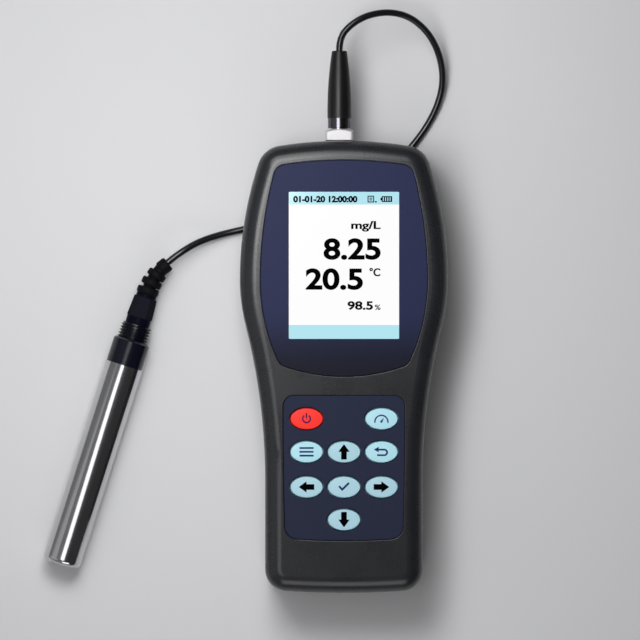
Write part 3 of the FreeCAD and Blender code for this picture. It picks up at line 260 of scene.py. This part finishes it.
# %% [markdown]
# ## The housing's plastic
#
# The housing is charcoal plastic with a satin skin. It has a very fine grain from the mould, slow changes
# of gloss where hands have held it, and it shows the light along its rounded rim. The grain is a bump, and
# two sizes of noise move the colour and the gloss a little.


# %% Plastics and rubbers
CLOUD_SIZE = 14 * MM
CLOUD_GLOSS = 0.10
GRAIN_GLOSS = 0.06
MEAN_GLOSS = (CLOUD_GLOSS + GRAIN_GLOSS) / 2


def moulded(name, colour, roughness, grain, depth, cloud=0.12, gloss=0.5):
    """A moulded plastic or rubber: colour and gloss wander slowly, and a fine grain covers it."""
    finish = Finish(name, specular_ior_level=gloss)
    slow = finish.noise(CLOUD_SIZE, detail=3.0)
    fine = finish.noise(grain, detail=1.0)
    lighter = tuple(part * (1 + cloud) for part in colour)
    darker = tuple(part * (1 - cloud) for part in colour)
    finish.set(base_color=finish.blend(slow, darker, lighter))
    finish.set(roughness=slow * CLOUD_GLOSS + fine * GRAIN_GLOSS + (roughness - MEAN_GLOSS))
    finish.bump(fine, depth)
    return finish


case_plastic = moulded("charcoal_case", tone(33, 34, 38), 0.28, 0.35 * MM, 0.007 * MM)
boot_rubber = moulded("boot_rubber", tone(18, 18, 19), 0.36, 0.5 * MM, 0.01 * MM, gloss=0.3)
cable_jacket = moulded("cable_jacket", tone(20, 20, 22), 0.18, 0.6 * MM, 0.004 * MM)
relief_rubber = moulded("relief_rubber", tone(17, 17, 20), 0.5, 0.5 * MM, 0.01 * MM, gloss=0.04)
gland_nylon = moulded("gland_nylon", tone(13, 13, 26), 0.22, 0.5 * MM, 0.006 * MM, gloss=0.25)
gland_flats = moulded("gland_flats", tone(13, 13, 26), 0.3, 0.5 * MM, 0.006 * MM, gloss=0.02)
collar_plastic = moulded("collar_plastic", tone(12, 12, 26), 0.18, 0.9 * MM, 0.004 * MM, gloss=0.4)
seal_rubber = moulded("seal_rubber", tone(22, 22, 22), 0.6, 0.5 * MM, 0.02 * MM)
insert_plastic = moulded("insert_plastic", tone(20, 20, 22), 0.45, 0.5 * MM, 0.01 * MM)
mat_rubber = moulded("mat_rubber", tone(150, 152, 156), 0.6, 0.5 * MM, 0.02 * MM)
cap_plastic = moulded("cap_plastic", tone(34, 34, 38), 0.4, 0.4 * MM, 0.01 * MM)
membrane_film = moulded("membrane_film", tone(205, 205, 200), 0.3, 0.4 * MM, 0.01 * MM)
print("plastics and rubbers: 12")

# %% [markdown]
# ## The printed plates
#
# The plates round the screen and under the keys are clear film, printed dark blue on the back. The plate
# round the screen fades to near black towards its lower edge. The print reads the height along the meter,
# so the fade lies at the same place on the real plate.


# %% Printed plates
FILM_GLOSS = 0.07
FILM_ROUGHNESS = 0.34
SPECK_SIZE = 0.25 * MM
SPECK_SHARE = 0.05


def printed_plate(name, upper, lower, fade_low, fade_high):
    """A printed film whose colour fades between two places along Y."""
    finish = Finish(name, specular_ior_level=FILM_GLOSS)
    up = finish.axis("Y")
    share = finish.step(up, fade_low, fade_high)
    speck = finish.noise(SPECK_SIZE, detail=1.0)
    slow = finish.noise(20 * MM)
    colour = finish.blend(share, lower, upper)
    finish.set(base_color=finish.blend(speck * SPECK_SHARE, colour, tone(96, 100, 130)))
    finish.set(roughness=slow * 0.08 + speck * 0.05 + FILM_ROUGHNESS)
    finish.bump(speck, 0.006 * MM)
    return finish


display_print = printed_plate("display_print", tone(38, 43, 74), tone(22, 23, 32), -4 * MM, 27 * MM)
keypad_print = printed_plate("keypad_print", tone(37, 42, 62), tone(38, 43, 62), -78 * MM, -12 * MM)
print("printed plates: 2")

# %% [markdown]
# ## The key faces
#
# The keys are pale rubber caps, printed in a light blue, and a red one switches the meter on. Their faces
# are even in the middle, with a painted shade that turns them a little darker and bluer towards the rim.
# Each cap has an attribute that says how near to its rim a point is, so that the same finish fits all nine.


# %% Key finishes
# Where the painted shade at a key's rim begins, as a share of the way from the middle to the rim.
RIM_SHADE_START = 0.92


def key_face(name, middle, rim):
    finish = Finish(name, specular_ior_level=0.2)
    edge = finish.node("ShaderNodeAttribute", {"attribute_name": "edge"}, output="Fac")
    speck = finish.noise(0.3 * MM, detail=1.0)
    # Painted shade: near its rim the face blends to the darker rim tone, as if shaded by the hole's edge.
    finish.set(base_color=finish.blend(finish.step(edge, RIM_SHADE_START, 1.0), middle, rim))
    finish.set(roughness=speck * 0.08 + 0.40)
    finish.bump(speck, 0.008 * MM)
    return finish


# The second tone of each key is the painted shade at its rim.
key_bright = key_face("key_bright", tone(180, 226, 238), tone(146, 186, 202))
key_soft = key_face("key_soft", tone(176, 214, 227), tone(142, 178, 194))
key_red = key_face("key_red", tone(252, 56, 46), tone(196, 42, 38))
navy_ink = moulded("navy_ink", tone(26, 48, 104), 0.7, 0.3 * MM, 0.002 * MM, gloss=0.05)
black_ink = moulded("black_ink", tone(5, 5, 6), 0.7, 0.3 * MM, 0.002 * MM, gloss=0.0)
plum_ink = moulded("plum_ink", tone(60, 24, 84), 0.7, 0.3 * MM, 0.002 * MM, gloss=0.05)
print("key finishes: 6")

# %% [markdown]
# ## Metals
#
# The probe's tube is polished steel with the faint lengthwise lines of its drawing. The socket's nut and the
# plug's shell are plated brass. A metal takes its look from what it mirrors, so its finish mostly sets how
# sharp the mirror is, and the lines are a fine bump along the axis.


# %% Metals
LINE_SIZE = 1 * MM


def plated(name, colour, roughness, scale=(1, 1, 1), rotation=(0, 0, 0), depth=0.002 * MM, metal=1.0):
    """A metal with fine lines. The scale stretches the lines, and the rotation turns them."""
    finish = Finish(name, metallic=metal)
    lines = finish.noise(LINE_SIZE, finish.stretched(scale, rotation), detail=3.0)
    cloud = finish.noise(9 * MM, detail=3.0)
    darker = tuple(part * 0.86 for part in colour)
    finish.set(base_color=finish.blend(cloud, darker, colour))
    finish.set(roughness=lines * CLOUD_GLOSS + cloud * GRAIN_GLOSS + (roughness - MEAN_GLOSS))
    finish.bump(lines, depth)
    return finish


PROBE_LEAN = math.radians(17.66)
tube_steel = plated("tube_steel", tone(208, 208, 211), 0.13, (0.35, 60, 0.35), (0, 0, -PROBE_LEAN))
nut_nickel = plated("nut_nickel", tone(205, 203, 205), 0.42, (0.5, 4, 0.5), metal=0.25)
plug_chrome = plated("plug_chrome", tone(96, 96, 102), 0.20, (0.4, 8, 0.4), depth=0.0005 * MM)
socket_brass = plated("socket_brass", tone(200, 198, 190), 0.30)
screw_steel = plated("screw_steel", tone(70, 70, 74), 0.38)
contact_steel = plated("contact_steel", tone(196, 196, 192), 0.30)
pin_gold = plated("pin_gold", tone(222, 182, 96), 0.28)
silver = plated("silver", tone(208, 206, 200), 0.35)
frame_steel = plated("frame_steel", tone(150, 152, 156), 0.40)
cell_jacket = plated("cell_jacket", tone(60, 66, 74), 0.34)
print("metals: 10")


# %% Board finish
def circuit_board():
    """Green solder mask with tracks under it, which show as slightly lighter lines."""
    finish = Finish("circuit_board")
    inputs = {"Vector": finish.place, "Scale": 160.0, "Mortar Size": 0.02}
    tracks = finish.node("ShaderNodeTexBrick", inputs=inputs)
    finish.set(base_color=finish.blend(tracks, tone(22, 78, 46), tone(36, 104, 62)), roughness=0.35)
    return finish


board_green = circuit_board()

# %% [markdown]
# ## The screen
#
# The screen shines by itself, so its picture is light and not paint: a white page with a pale blue bar above
# and below. The page is made of square picture elements with thin dark gaps, too fine to see from afar. The
# figures stand on it as thin black pieces.


# %% Screen finish
screen_low, screen_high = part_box("lcd_screen")
TOP_BAR = 5.6 * MM
LOW_BAR = 6.1 * MM
DOT_PITCH = 0.15 * MM
GAP_WIDTH = 0.06
GAP_SHARE = 0.03
FACE_DEPTH = 0.02 * MM


def screen_picture():
    finish = Finish("screen_picture", base_color=tone(12, 12, 14), roughness=0.12, emission_strength=1.0)
    up = finish.axis("Y")
    across = finish.axis("X")
    bar = (up > screen_high.y - TOP_BAR) + (up < screen_low.y + LOW_BAR)
    picture = finish.blend(bar, tone(252, 252, 252), tone(178, 228, 240))
    gaps = [(line / DOT_PITCH).math("FRACT") < GAP_WIDTH for line in (across, up)]
    face = finish.axis("Z") > screen_high.z - FACE_DEPTH
    lit = finish.blend((gaps[0] + gaps[1]) * GAP_SHARE, picture, tone(120, 120, 120))
    finish.set(emission_color=finish.blend(face, tone(0, 0, 0), lit))
    return finish


screen_light = screen_picture()
print("screen in millimetres:", [round(side / MM, 1) for side in screen_high - screen_low])

# %% [markdown]
# ## Finishes onto the measured parts
#
# Each measured part takes one finish.

# %% Dress the measured parts
DRESS = {
    "front_shell": case_plastic, "rear_shell": case_plastic, "battery_door": case_plastic,
    "shell_gasket": seal_rubber, "door_seal": seal_rubber, "collar_seal": seal_rubber,
    "display_panel": display_print, "keypad_panel": keypad_print, "lcd_screen": screen_light,
    "lcd_frame": frame_steel, "keypad_mat": mat_rubber, "main_board": board_green,
    "board_components": insert_plastic, "clock_cell": contact_steel, "case_screws": screw_steel,
    "board_screws": screw_steel, "door_screws": screw_steel, "battery_tray": insert_plastic,
    "batteries": cell_jacket, "battery_contacts": contact_steel, "probe_socket": socket_brass,
    "socket_insert": insert_plastic, "socket_washer": seal_rubber, "socket_nut": nut_nickel,
    "socket_pins": pin_gold, "plug_shell": plug_chrome, "plug_insert": insert_plastic,
    "plug_boot": boot_rubber, "probe_cable": cable_jacket, "probe_tube": tube_steel,
    "probe_collar": collar_plastic, "probe_neck": gland_nylon, "electrode_holder": insert_plastic,
    "silver_anode": silver, "gold_cathode": pin_gold, "membrane_cap": cap_plastic,
    "membrane": membrane_film, "gland_body": gland_flats, "strain_relief": relief_rubber,
}
KEYS = {
    "key_power": key_red, "key_measure": key_bright, "key_menu": key_bright, "key_up": key_soft,
    "key_escape": key_bright, "key_left": key_soft, "key_ok": key_soft, "key_right": key_soft,
    "key_down": key_soft,
}


def paint(thing, finish):
    thing.data.materials.clear()
    thing.data.materials.append(finish.material)


for node, finish in (DRESS | KEYS).items():
    paint(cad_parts[node], finish)
paint(cable, cable_jacket)
print("dressed:", len(DRESS) + len(KEYS), "of", len(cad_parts))

# %% [markdown]
# ## The key caps
#
# A key is a soft cap with a thin flange that lies under the plate. From above only the oval face shows, a
# little below the plate. The face is very slightly dished for a fingertip, and its rim is rounded. An oval
# can be made from a circle that is stretched, and the rest by extruding and insetting its one face.

# %% Key caps
OVAL_SIDES = 80
FLANGE_EDGE = 0.7 * MM
FLANGE_THICK = 0.8 * MM
CAP_ROUND = 0.5 * MM
CAP_DISH = 0.08 * MM
DISH_SLOPE = 0.9 * MM
DISH_MIDDLE = 0.6 * MM
SHARPEST_CAP = math.radians(35)


def key_cap(node, finish):
    low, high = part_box(node)
    middle, half = (low + high) / 2, (high - low) / 2
    bpy.ops.mesh.primitive_circle_add(vertices=OVAL_SIDES, radius=1, fill_type="NGON")
    cap = bpy.context.object
    cap.name = f"{node}_cap"
    bpy.ops.object.mode_set(mode="EDIT")
    bpy.ops.transform.resize(value=(half.x, half.y, 1))
    bpy.ops.transform.translate(value=(middle.x, middle.y, low.z))
    bpy.ops.mesh.extrude_region_move(TRANSFORM_OT_translate={"value": (0, 0, FLANGE_THICK)})
    bpy.ops.mesh.inset(thickness=FLANGE_EDGE)
    bpy.ops.mesh.extrude_region_move(TRANSFORM_OT_translate={"value": (0, 0, high.z - low.z - FLANGE_THICK)})
    bpy.ops.mesh.bevel(offset=CAP_ROUND, segments=4, affect="EDGES")
    bpy.ops.mesh.inset(thickness=DISH_SLOPE)
    bpy.ops.transform.translate(value=(0, 0, -CAP_DISH))
    bpy.ops.mesh.inset(thickness=DISH_MIDDLE)
    bpy.ops.object.mode_set(mode="OBJECT")
    edge = cap.data.attributes.new("edge", "FLOAT", "POINT")
    for vertex, value in zip(cap.data.vertices, edge.data):
        across = (vertex.co.x - middle.x) / (half.x - FLANGE_EDGE)
        along = (vertex.co.y - middle.y) / (half.y - FLANGE_EDGE)
        value.value = math.hypot(across, along)
    bpy.ops.object.shade_smooth_by_angle(angle=SHARPEST_CAP)
    bpy.ops.object.select_all(action="DESELECT")
    paint(cap, finish)
    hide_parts(node)
    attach(cap, node)
    return Vector((middle.x, middle.y, high.z - CAP_DISH))


key_faces = {node: key_cap(node, finish) for node, finish in KEYS.items()}
print("key caps:", len(key_faces))

# %% [markdown]
# ## The marks on the keys
#
# Each key carries a printed mark: arrows, a power sign, a gauge for measuring, bars for the list, a bent
# arrow for going back, and a tick. Printed ink has hardly any thickness. A flat curve that is filled and
# given a few hundredths of a millimetre makes a crisp mark at any distance, where a painted picture would
# blur.

# %% Flat marks
INK = 0.05 * MM
WELD = 0.001 * MM


def settle(name, drawing, matrix):
    """Makes a flat curve or a text a closed mesh and puts it in its place."""
    holder = bpy.data.objects.new(name, drawing)
    mesh = bpy.data.meshes.new_from_object(holder)
    bpy.data.objects.remove(holder)
    mesh.transform(matrix)
    shape = bmesh.new()
    shape.from_mesh(mesh)
    bmesh.ops.remove_doubles(shape, verts=shape.verts, dist=WELD)
    bmesh.ops.recalc_face_normals(shape, faces=shape.faces)
    shape.to_mesh(mesh)
    shape.free()
    thing = bpy.data.objects.new(name, mesh)
    scene.collection.objects.link(thing)
    return thing


def mark(name, outlines, place, body, ink):
    """A thin mark cut to closed outlines, in millimetres round its place."""
    drawing = bpy.data.curves.new(name, "CURVE")
    drawing.dimensions = "2D"
    drawing.fill_mode = "BOTH"
    drawing.extrude = INK / 2
    for outline in outlines:
        line = drawing.splines.new("POLY")
        line.points.add(len(outline) - 1)
        for control, (x, y) in zip(line.points, outline):
            control.co = (x * MM, y * MM, 0, 1)
        line.use_cyclic_u = True
    thing = settle(name, drawing, Matrix.Translation(place))
    paint(thing, ink)
    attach(thing, body)


def arc(radius, start, end, centre=(0, 0), steps=20):
    """Points along an arc, its angles in degrees from +X."""
    turns = [math.radians(start + (end - start) * step / steps) for step in range(steps + 1)]
    return [(centre[0] + radius * math.cos(turn), centre[1] + radius * math.sin(turn)) for turn in turns]


def turned(outline, quarter_turns):
    for _ in range(quarter_turns):
        outline = [(-y, x) for x, y in outline]
    return outline


def bar(left, right, low, high):
    return [(left, low), (right, low), (right, high), (left, high)]


# %% Key marks
ARROW = [(-1.25, -3.4), (1.25, -3.4), (1.25, 0), (2.5, 0), (0, 3.4), (-2.5, 0), (-1.25, 0)]
BACK_ARROW = (
    arc(1.6, 90, -90, (1.3, -0.25)) + [(-1.9, -1.85), (-1.9, -1.1)] + arc(0.85, -90, 90, (1.3, -0.25))
    + [(-1.2, 0.6), (-1.2, -0.2), (-3.3, 1.0), (-1.2, 2.2), (-1.2, 1.35)]
)
MARKS = {
    "key_power": ([arc(2.0, 125, 415) + arc(1.4, 415, 125), bar(-0.3, 0.3, 0.2, 2.5)], plum_ink),
    "key_measure": ([
        arc(3.2, -8, 188, (0, -1.4)) + arc(2.6, 188, -8, (0, -1.4)),
        arc(0.5, 155, 325, (0, -1.3)) + [(1.1, 0.6)],
    ], navy_ink),
    "key_menu": ([bar(-3.1, 3.1, height - 0.38, height + 0.38) for height in (1.7, 0, -1.7)], navy_ink),
    "key_escape": ([BACK_ARROW], navy_ink),
    "key_ok": ([[(-2.5, 0.1), (-1.9, 0.7), (-0.8, -0.5), (1.9, 2.1), (2.5, 1.5), (-0.8, -1.8)]], navy_ink),
    "key_up": ([ARROW], black_ink),
    "key_left": ([turned(ARROW, 1)], black_ink),
    "key_down": ([turned(ARROW, 2)], black_ink),
    "key_right": ([turned(ARROW, 3)], black_ink),
}
for node, (outlines, ink) in MARKS.items():
    mark(f"{node}_mark", outlines, key_faces[node], node, ink)
print("key marks:", len(MARKS))

# %% [markdown]
# ## The figures on the screen
#
# The screen shows the time, the amount of oxygen, the temperature and the share of saturation. Real figures
# are made of dark picture elements, so they have no height. Here they are thin black text, fitted to the
# boxes that such figures fill on the screen, and thickened a little, because screen letters are bold. The
# units are drawn twice, side by side, because their letters close up when they are thickened.

# %% Screen figures
SCREEN_PIXELS = (287.2, 397.8, 338.8, 192.2)


def on_screen(x, y):
    """A place on the screen's face, from a pixel of the photograph."""
    left, right, low, top = SCREEN_PIXELS
    across = (x - left) / (right - left)
    up = (low - y) / (low - top)
    size = screen_high - screen_low
    return Vector((screen_low.x + across * size.x, screen_low.y + up * size.y, screen_high.z + 0.3 * INK))


def figure(name, words, left, right, low, top, bold):
    """Text stretched to fill a box of pixels on the screen."""
    drawing = bpy.data.curves.new(name, "FONT")
    drawing.body = words
    drawing.offset = bold
    drawing.extrude = 0.5
    thing = settle(name, drawing, Matrix.Identity(4))
    corners = [vertex.co for vertex in thing.data.vertices]
    first = Vector((min(corner.x for corner in corners), min(corner.y for corner in corners), 0))
    last = Vector((max(corner.x for corner in corners), max(corner.y for corner in corners), 0))
    start, end = on_screen(left, low), on_screen(right, top)
    wider = (end.x - start.x) / (last.x - first.x)
    taller = (end.y - start.y) / (last.y - first.y)
    stretch = Matrix.Diagonal((wider, taller, INK, 1))
    thing.data.transform(Matrix.Translation(start) @ stretch @ Matrix.Translation(-first))
    paint(thing, black_ink)
    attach(thing, "meter")


figure("time_figures", "01-01-20 12:00:00", 291.6, 356.0, 202.8, 196.2, 0.055)
SECOND_COPY = 0.45
for number, shift in enumerate((0, SECOND_COPY)):
    figure(f"unit_figures_{number}", "mg/L", 349.7 + shift, 378.9 + shift, 231.8, 221.2, 0.018)
    figure(f"degree_figures_{number}", "\u00b0C", 368.0 + shift, 378.6 + shift, 276.4, 268.0, 0.018)
figure("oxygen_figures", "8.25", 322.0, 379.3, 260.0, 238.4, 0.03)
figure("temperature_figures", "20.5", 304.0, 361.5, 290.0, 268.4, 0.03)
figure("share_figures", "98.5", 346.0, 371.6, 310.0, 301.2, 0.035)
figure("percent_figures", "%", 373.4, 379.2, 310.0, 304.6, 0.02)
print("screen figures: 9")

# %% Screen signs
BATTERY_SIGN = [bar(-2.3, 2.3, -1.3, 1.3), bar(-2.85, -2.3, -0.6, 0.6)]
BATTERY_SIGN += [bar(start, start + 0.4, -0.85, 0.85) for start in (-1.8, -0.8, 0.2, 1.2)]
PAGE_SIGN = [bar(-1.7, 1.2, -1.5, 1.5), bar(-1.25, 0.75, -1.05, 1.05)]
PAGE_SIGN += [bar(-0.85, 0.35, low, low + 0.45) for low in (0.2, -0.6)] + [bar(1.5, 2.4, -1.5, -0.9)]
mark("battery_sign", BATTERY_SIGN, on_screen(385.6, 199.4), "meter", black_ink)
mark("store_sign", PAGE_SIGN, on_screen(370.0, 199.4), "meter", black_ink)
print("screen signs: 2")

# %% [markdown]
# ## The thread on the probe's neck
#
# The neck between the collar and the gland is a coarse outer thread. A thread is a small tooth that is swept
# round and along at once, which the Screw modifier does. The tooth starts as a loop of four corners, the
# modifier turns it five times, its two ends are closed, and a plain core inside joins the turns.

# %% Threaded neck
NECK_START = -18.9 * MM
NECK_LENGTH = 7.2 * MM
THREAD_PITCH = 1.36 * MM
THREAD_TURNS = 5
CORE_RADIUS = 6.2 * MM
CREST_RADIUS = 6.85 * MM
TOOTH_ROOT = CORE_RADIUS - 0.2 * MM
TOOTH = [(TOOTH_ROOT, 0.05), (CREST_RADIUS, 0.32), (CREST_RADIUS, 0.55), (TOOTH_ROOT, 0.82)]
STEPS_A_TURN = 72
CORE_SIDES = 96
CORE_ROUND = 0.2 * MM
SHARPEST_THREAD = math.radians(30)

down = Vector((-math.sin(PROBE_LEAN), -math.cos(PROBE_LEAN), 0))
across = Vector((math.cos(PROBE_LEAN), -math.sin(PROBE_LEAN), 0))
PROBE_FRAME = Matrix((across, down.cross(across), down)).transposed().to_4x4()
PROBE_FRAME.translation = Vector((-97.5, 0.5, 8.5)) * MM

bpy.ops.mesh.primitive_circle_add(vertices=4, radius=1)
neck = bpy.context.object
neck.name = "threaded_neck"
for vertex, (radius, height) in zip(neck.data.vertices, TOOTH):
    vertex.co = (radius, 0, NECK_START + height * THREAD_PITCH)
screw = neck.modifiers.new("thread", "SCREW")
screw.axis = "Z"
screw.angle = math.tau
screw.iterations = THREAD_TURNS
screw.screw_offset = THREAD_PITCH
screw.steps = screw.render_steps = STEPS_A_TURN
bpy.ops.object.modifier_apply(modifier=screw.name)
bpy.ops.object.mode_set(mode="EDIT")
bpy.ops.mesh.select_all(action="SELECT")
bpy.ops.mesh.fill_holes(sides=4)
bpy.ops.mesh.select_all(action="SELECT")
bpy.ops.mesh.normals_make_consistent(inside=False)
bpy.ops.mesh.select_all(action="DESELECT")
core_middle = (0, 0, NECK_START + NECK_LENGTH / 2)
bpy.ops.mesh.primitive_cylinder_add(
    vertices=CORE_SIDES, radius=CORE_RADIUS, depth=NECK_LENGTH, location=core_middle)
bpy.ops.mesh.bevel(offset=CORE_ROUND, segments=2, affect="EDGES")
bpy.ops.object.mode_set(mode="OBJECT")
neck.data.transform(PROBE_FRAME)
bpy.ops.object.shade_smooth_by_angle(angle=SHARPEST_THREAD)
bpy.ops.object.select_all(action="DESELECT")
paint(neck, gland_nylon)
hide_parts("probe_neck")
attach(neck, "probe_lead")
print("thread triangles:", sum(len(face.vertices) - 2 for face in neck.data.polygons))

# %% [markdown]
# ## Floor and light
#
# The meter lies on a plain pale table. One large soft lamp stands high at the upper left, and a small one
# hangs close over the upper left of the head, so the rounded rim shines there and the right side falls
# darker, as in the photograph. Three lamps belong to the probe: a panel at its left, a strip above it and a
# thin line at its right draw the stripes on the steel. The last lamp lifts the near end. The sky is dim and
# fades from left to right.

# %% Floor
FLOOR_SIZE = 4.0
FLOOR_DROP = 0.05 * MM
bpy.ops.mesh.primitive_plane_add(size=FLOOR_SIZE, location=(0, 0, -FLOOR_DROP))
floor = bpy.context.object
floor.name = "floor"
pale = Finish("pale_table", roughness=0.9, specular_ior_level=0.1)
pale.set(base_color=pale.blend(pale.noise(0.4), tone(214, 214, 216), tone(220, 220, 222)))
paint(floor, pale)


# %% Lamps
def softbox(name, azimuth, height, distance, size, power, target):
    """A soft lamp that stands at a compass angle from +Y, turning to +X, and so many degrees up."""
    turn, lift = math.radians(azimuth), math.radians(height)
    away = Vector((math.sin(turn) * math.cos(lift), math.cos(turn) * math.cos(lift), math.sin(lift)))
    bpy.ops.object.light_add(type="AREA", location=Vector(target) + away * distance)
    lamp = bpy.context.object
    lamp.name = name
    lamp.data.shape = "RECTANGLE"
    lamp.data.size, lamp.data.size_y = size
    lamp.data.energy = power
    lamp.rotation_mode = "QUATERNION"
    lamp.rotation_quaternion = away.to_track_quat("Z", "Y")
    lamp.visible_camera = False


NEAR_PROBE = (-0.11, -0.04, 0.01)
softbox("key_light", -25, 60, 0.8, (0.45, 0.45), 2.9, (-0.01, 0.06, 0.03))
softbox("head_light", -50, 80, 0.28, (0.15, 0.10), 0.40, (-0.03, 0.07, 0.03))
softbox("left_panel", -100, 32, 0.9, (0.7, 0.75), 0.4, NEAR_PROBE)
softbox("tube_strip", 252, 88, 0.35, (0.22, 0.11), 0.13, (-0.118, -0.065, 0.01))
softbox("right_line", 72, 16, 0.9, (0.9, 0.04), 0.06, NEAR_PROBE)
softbox("low_fill", 180, 36, 0.7, (0.5, 0.35), 1.0, (0, -0.1, 0.02))
print("lamps: 6")

# %% Sky
SKY_LEFT = 0.20
SKY_RIGHT = 0.04
FADE = (("From Min", -0.5), ("From Max", 0.6), ("To Min", SKY_LEFT), ("To Max", SKY_RIGHT))
sky = bpy.data.worlds.new("studio")
scene.world = sky
sky.use_nodes = True
nodes, links = sky.node_tree.nodes, sky.node_tree.links
direction = nodes.new("ShaderNodeTexCoord")
sides = nodes.new("ShaderNodeSeparateXYZ")
level = nodes.new("ShaderNodeMapRange")
level.interpolation_type = "SMOOTHSTEP"
for name, number in FADE:
    level.inputs[name].default_value = number
links.new(direction.outputs["Generated"], sides.inputs[0])
links.new(sides.outputs["X"], level.inputs["Value"])
links.new(level.outputs[0], nodes["Background"].inputs["Strength"])
nodes["Background"].inputs["Color"].default_value = (1, 1, 1, 1)
print("sky level, left and right:", SKY_LEFT, SKY_RIGHT)
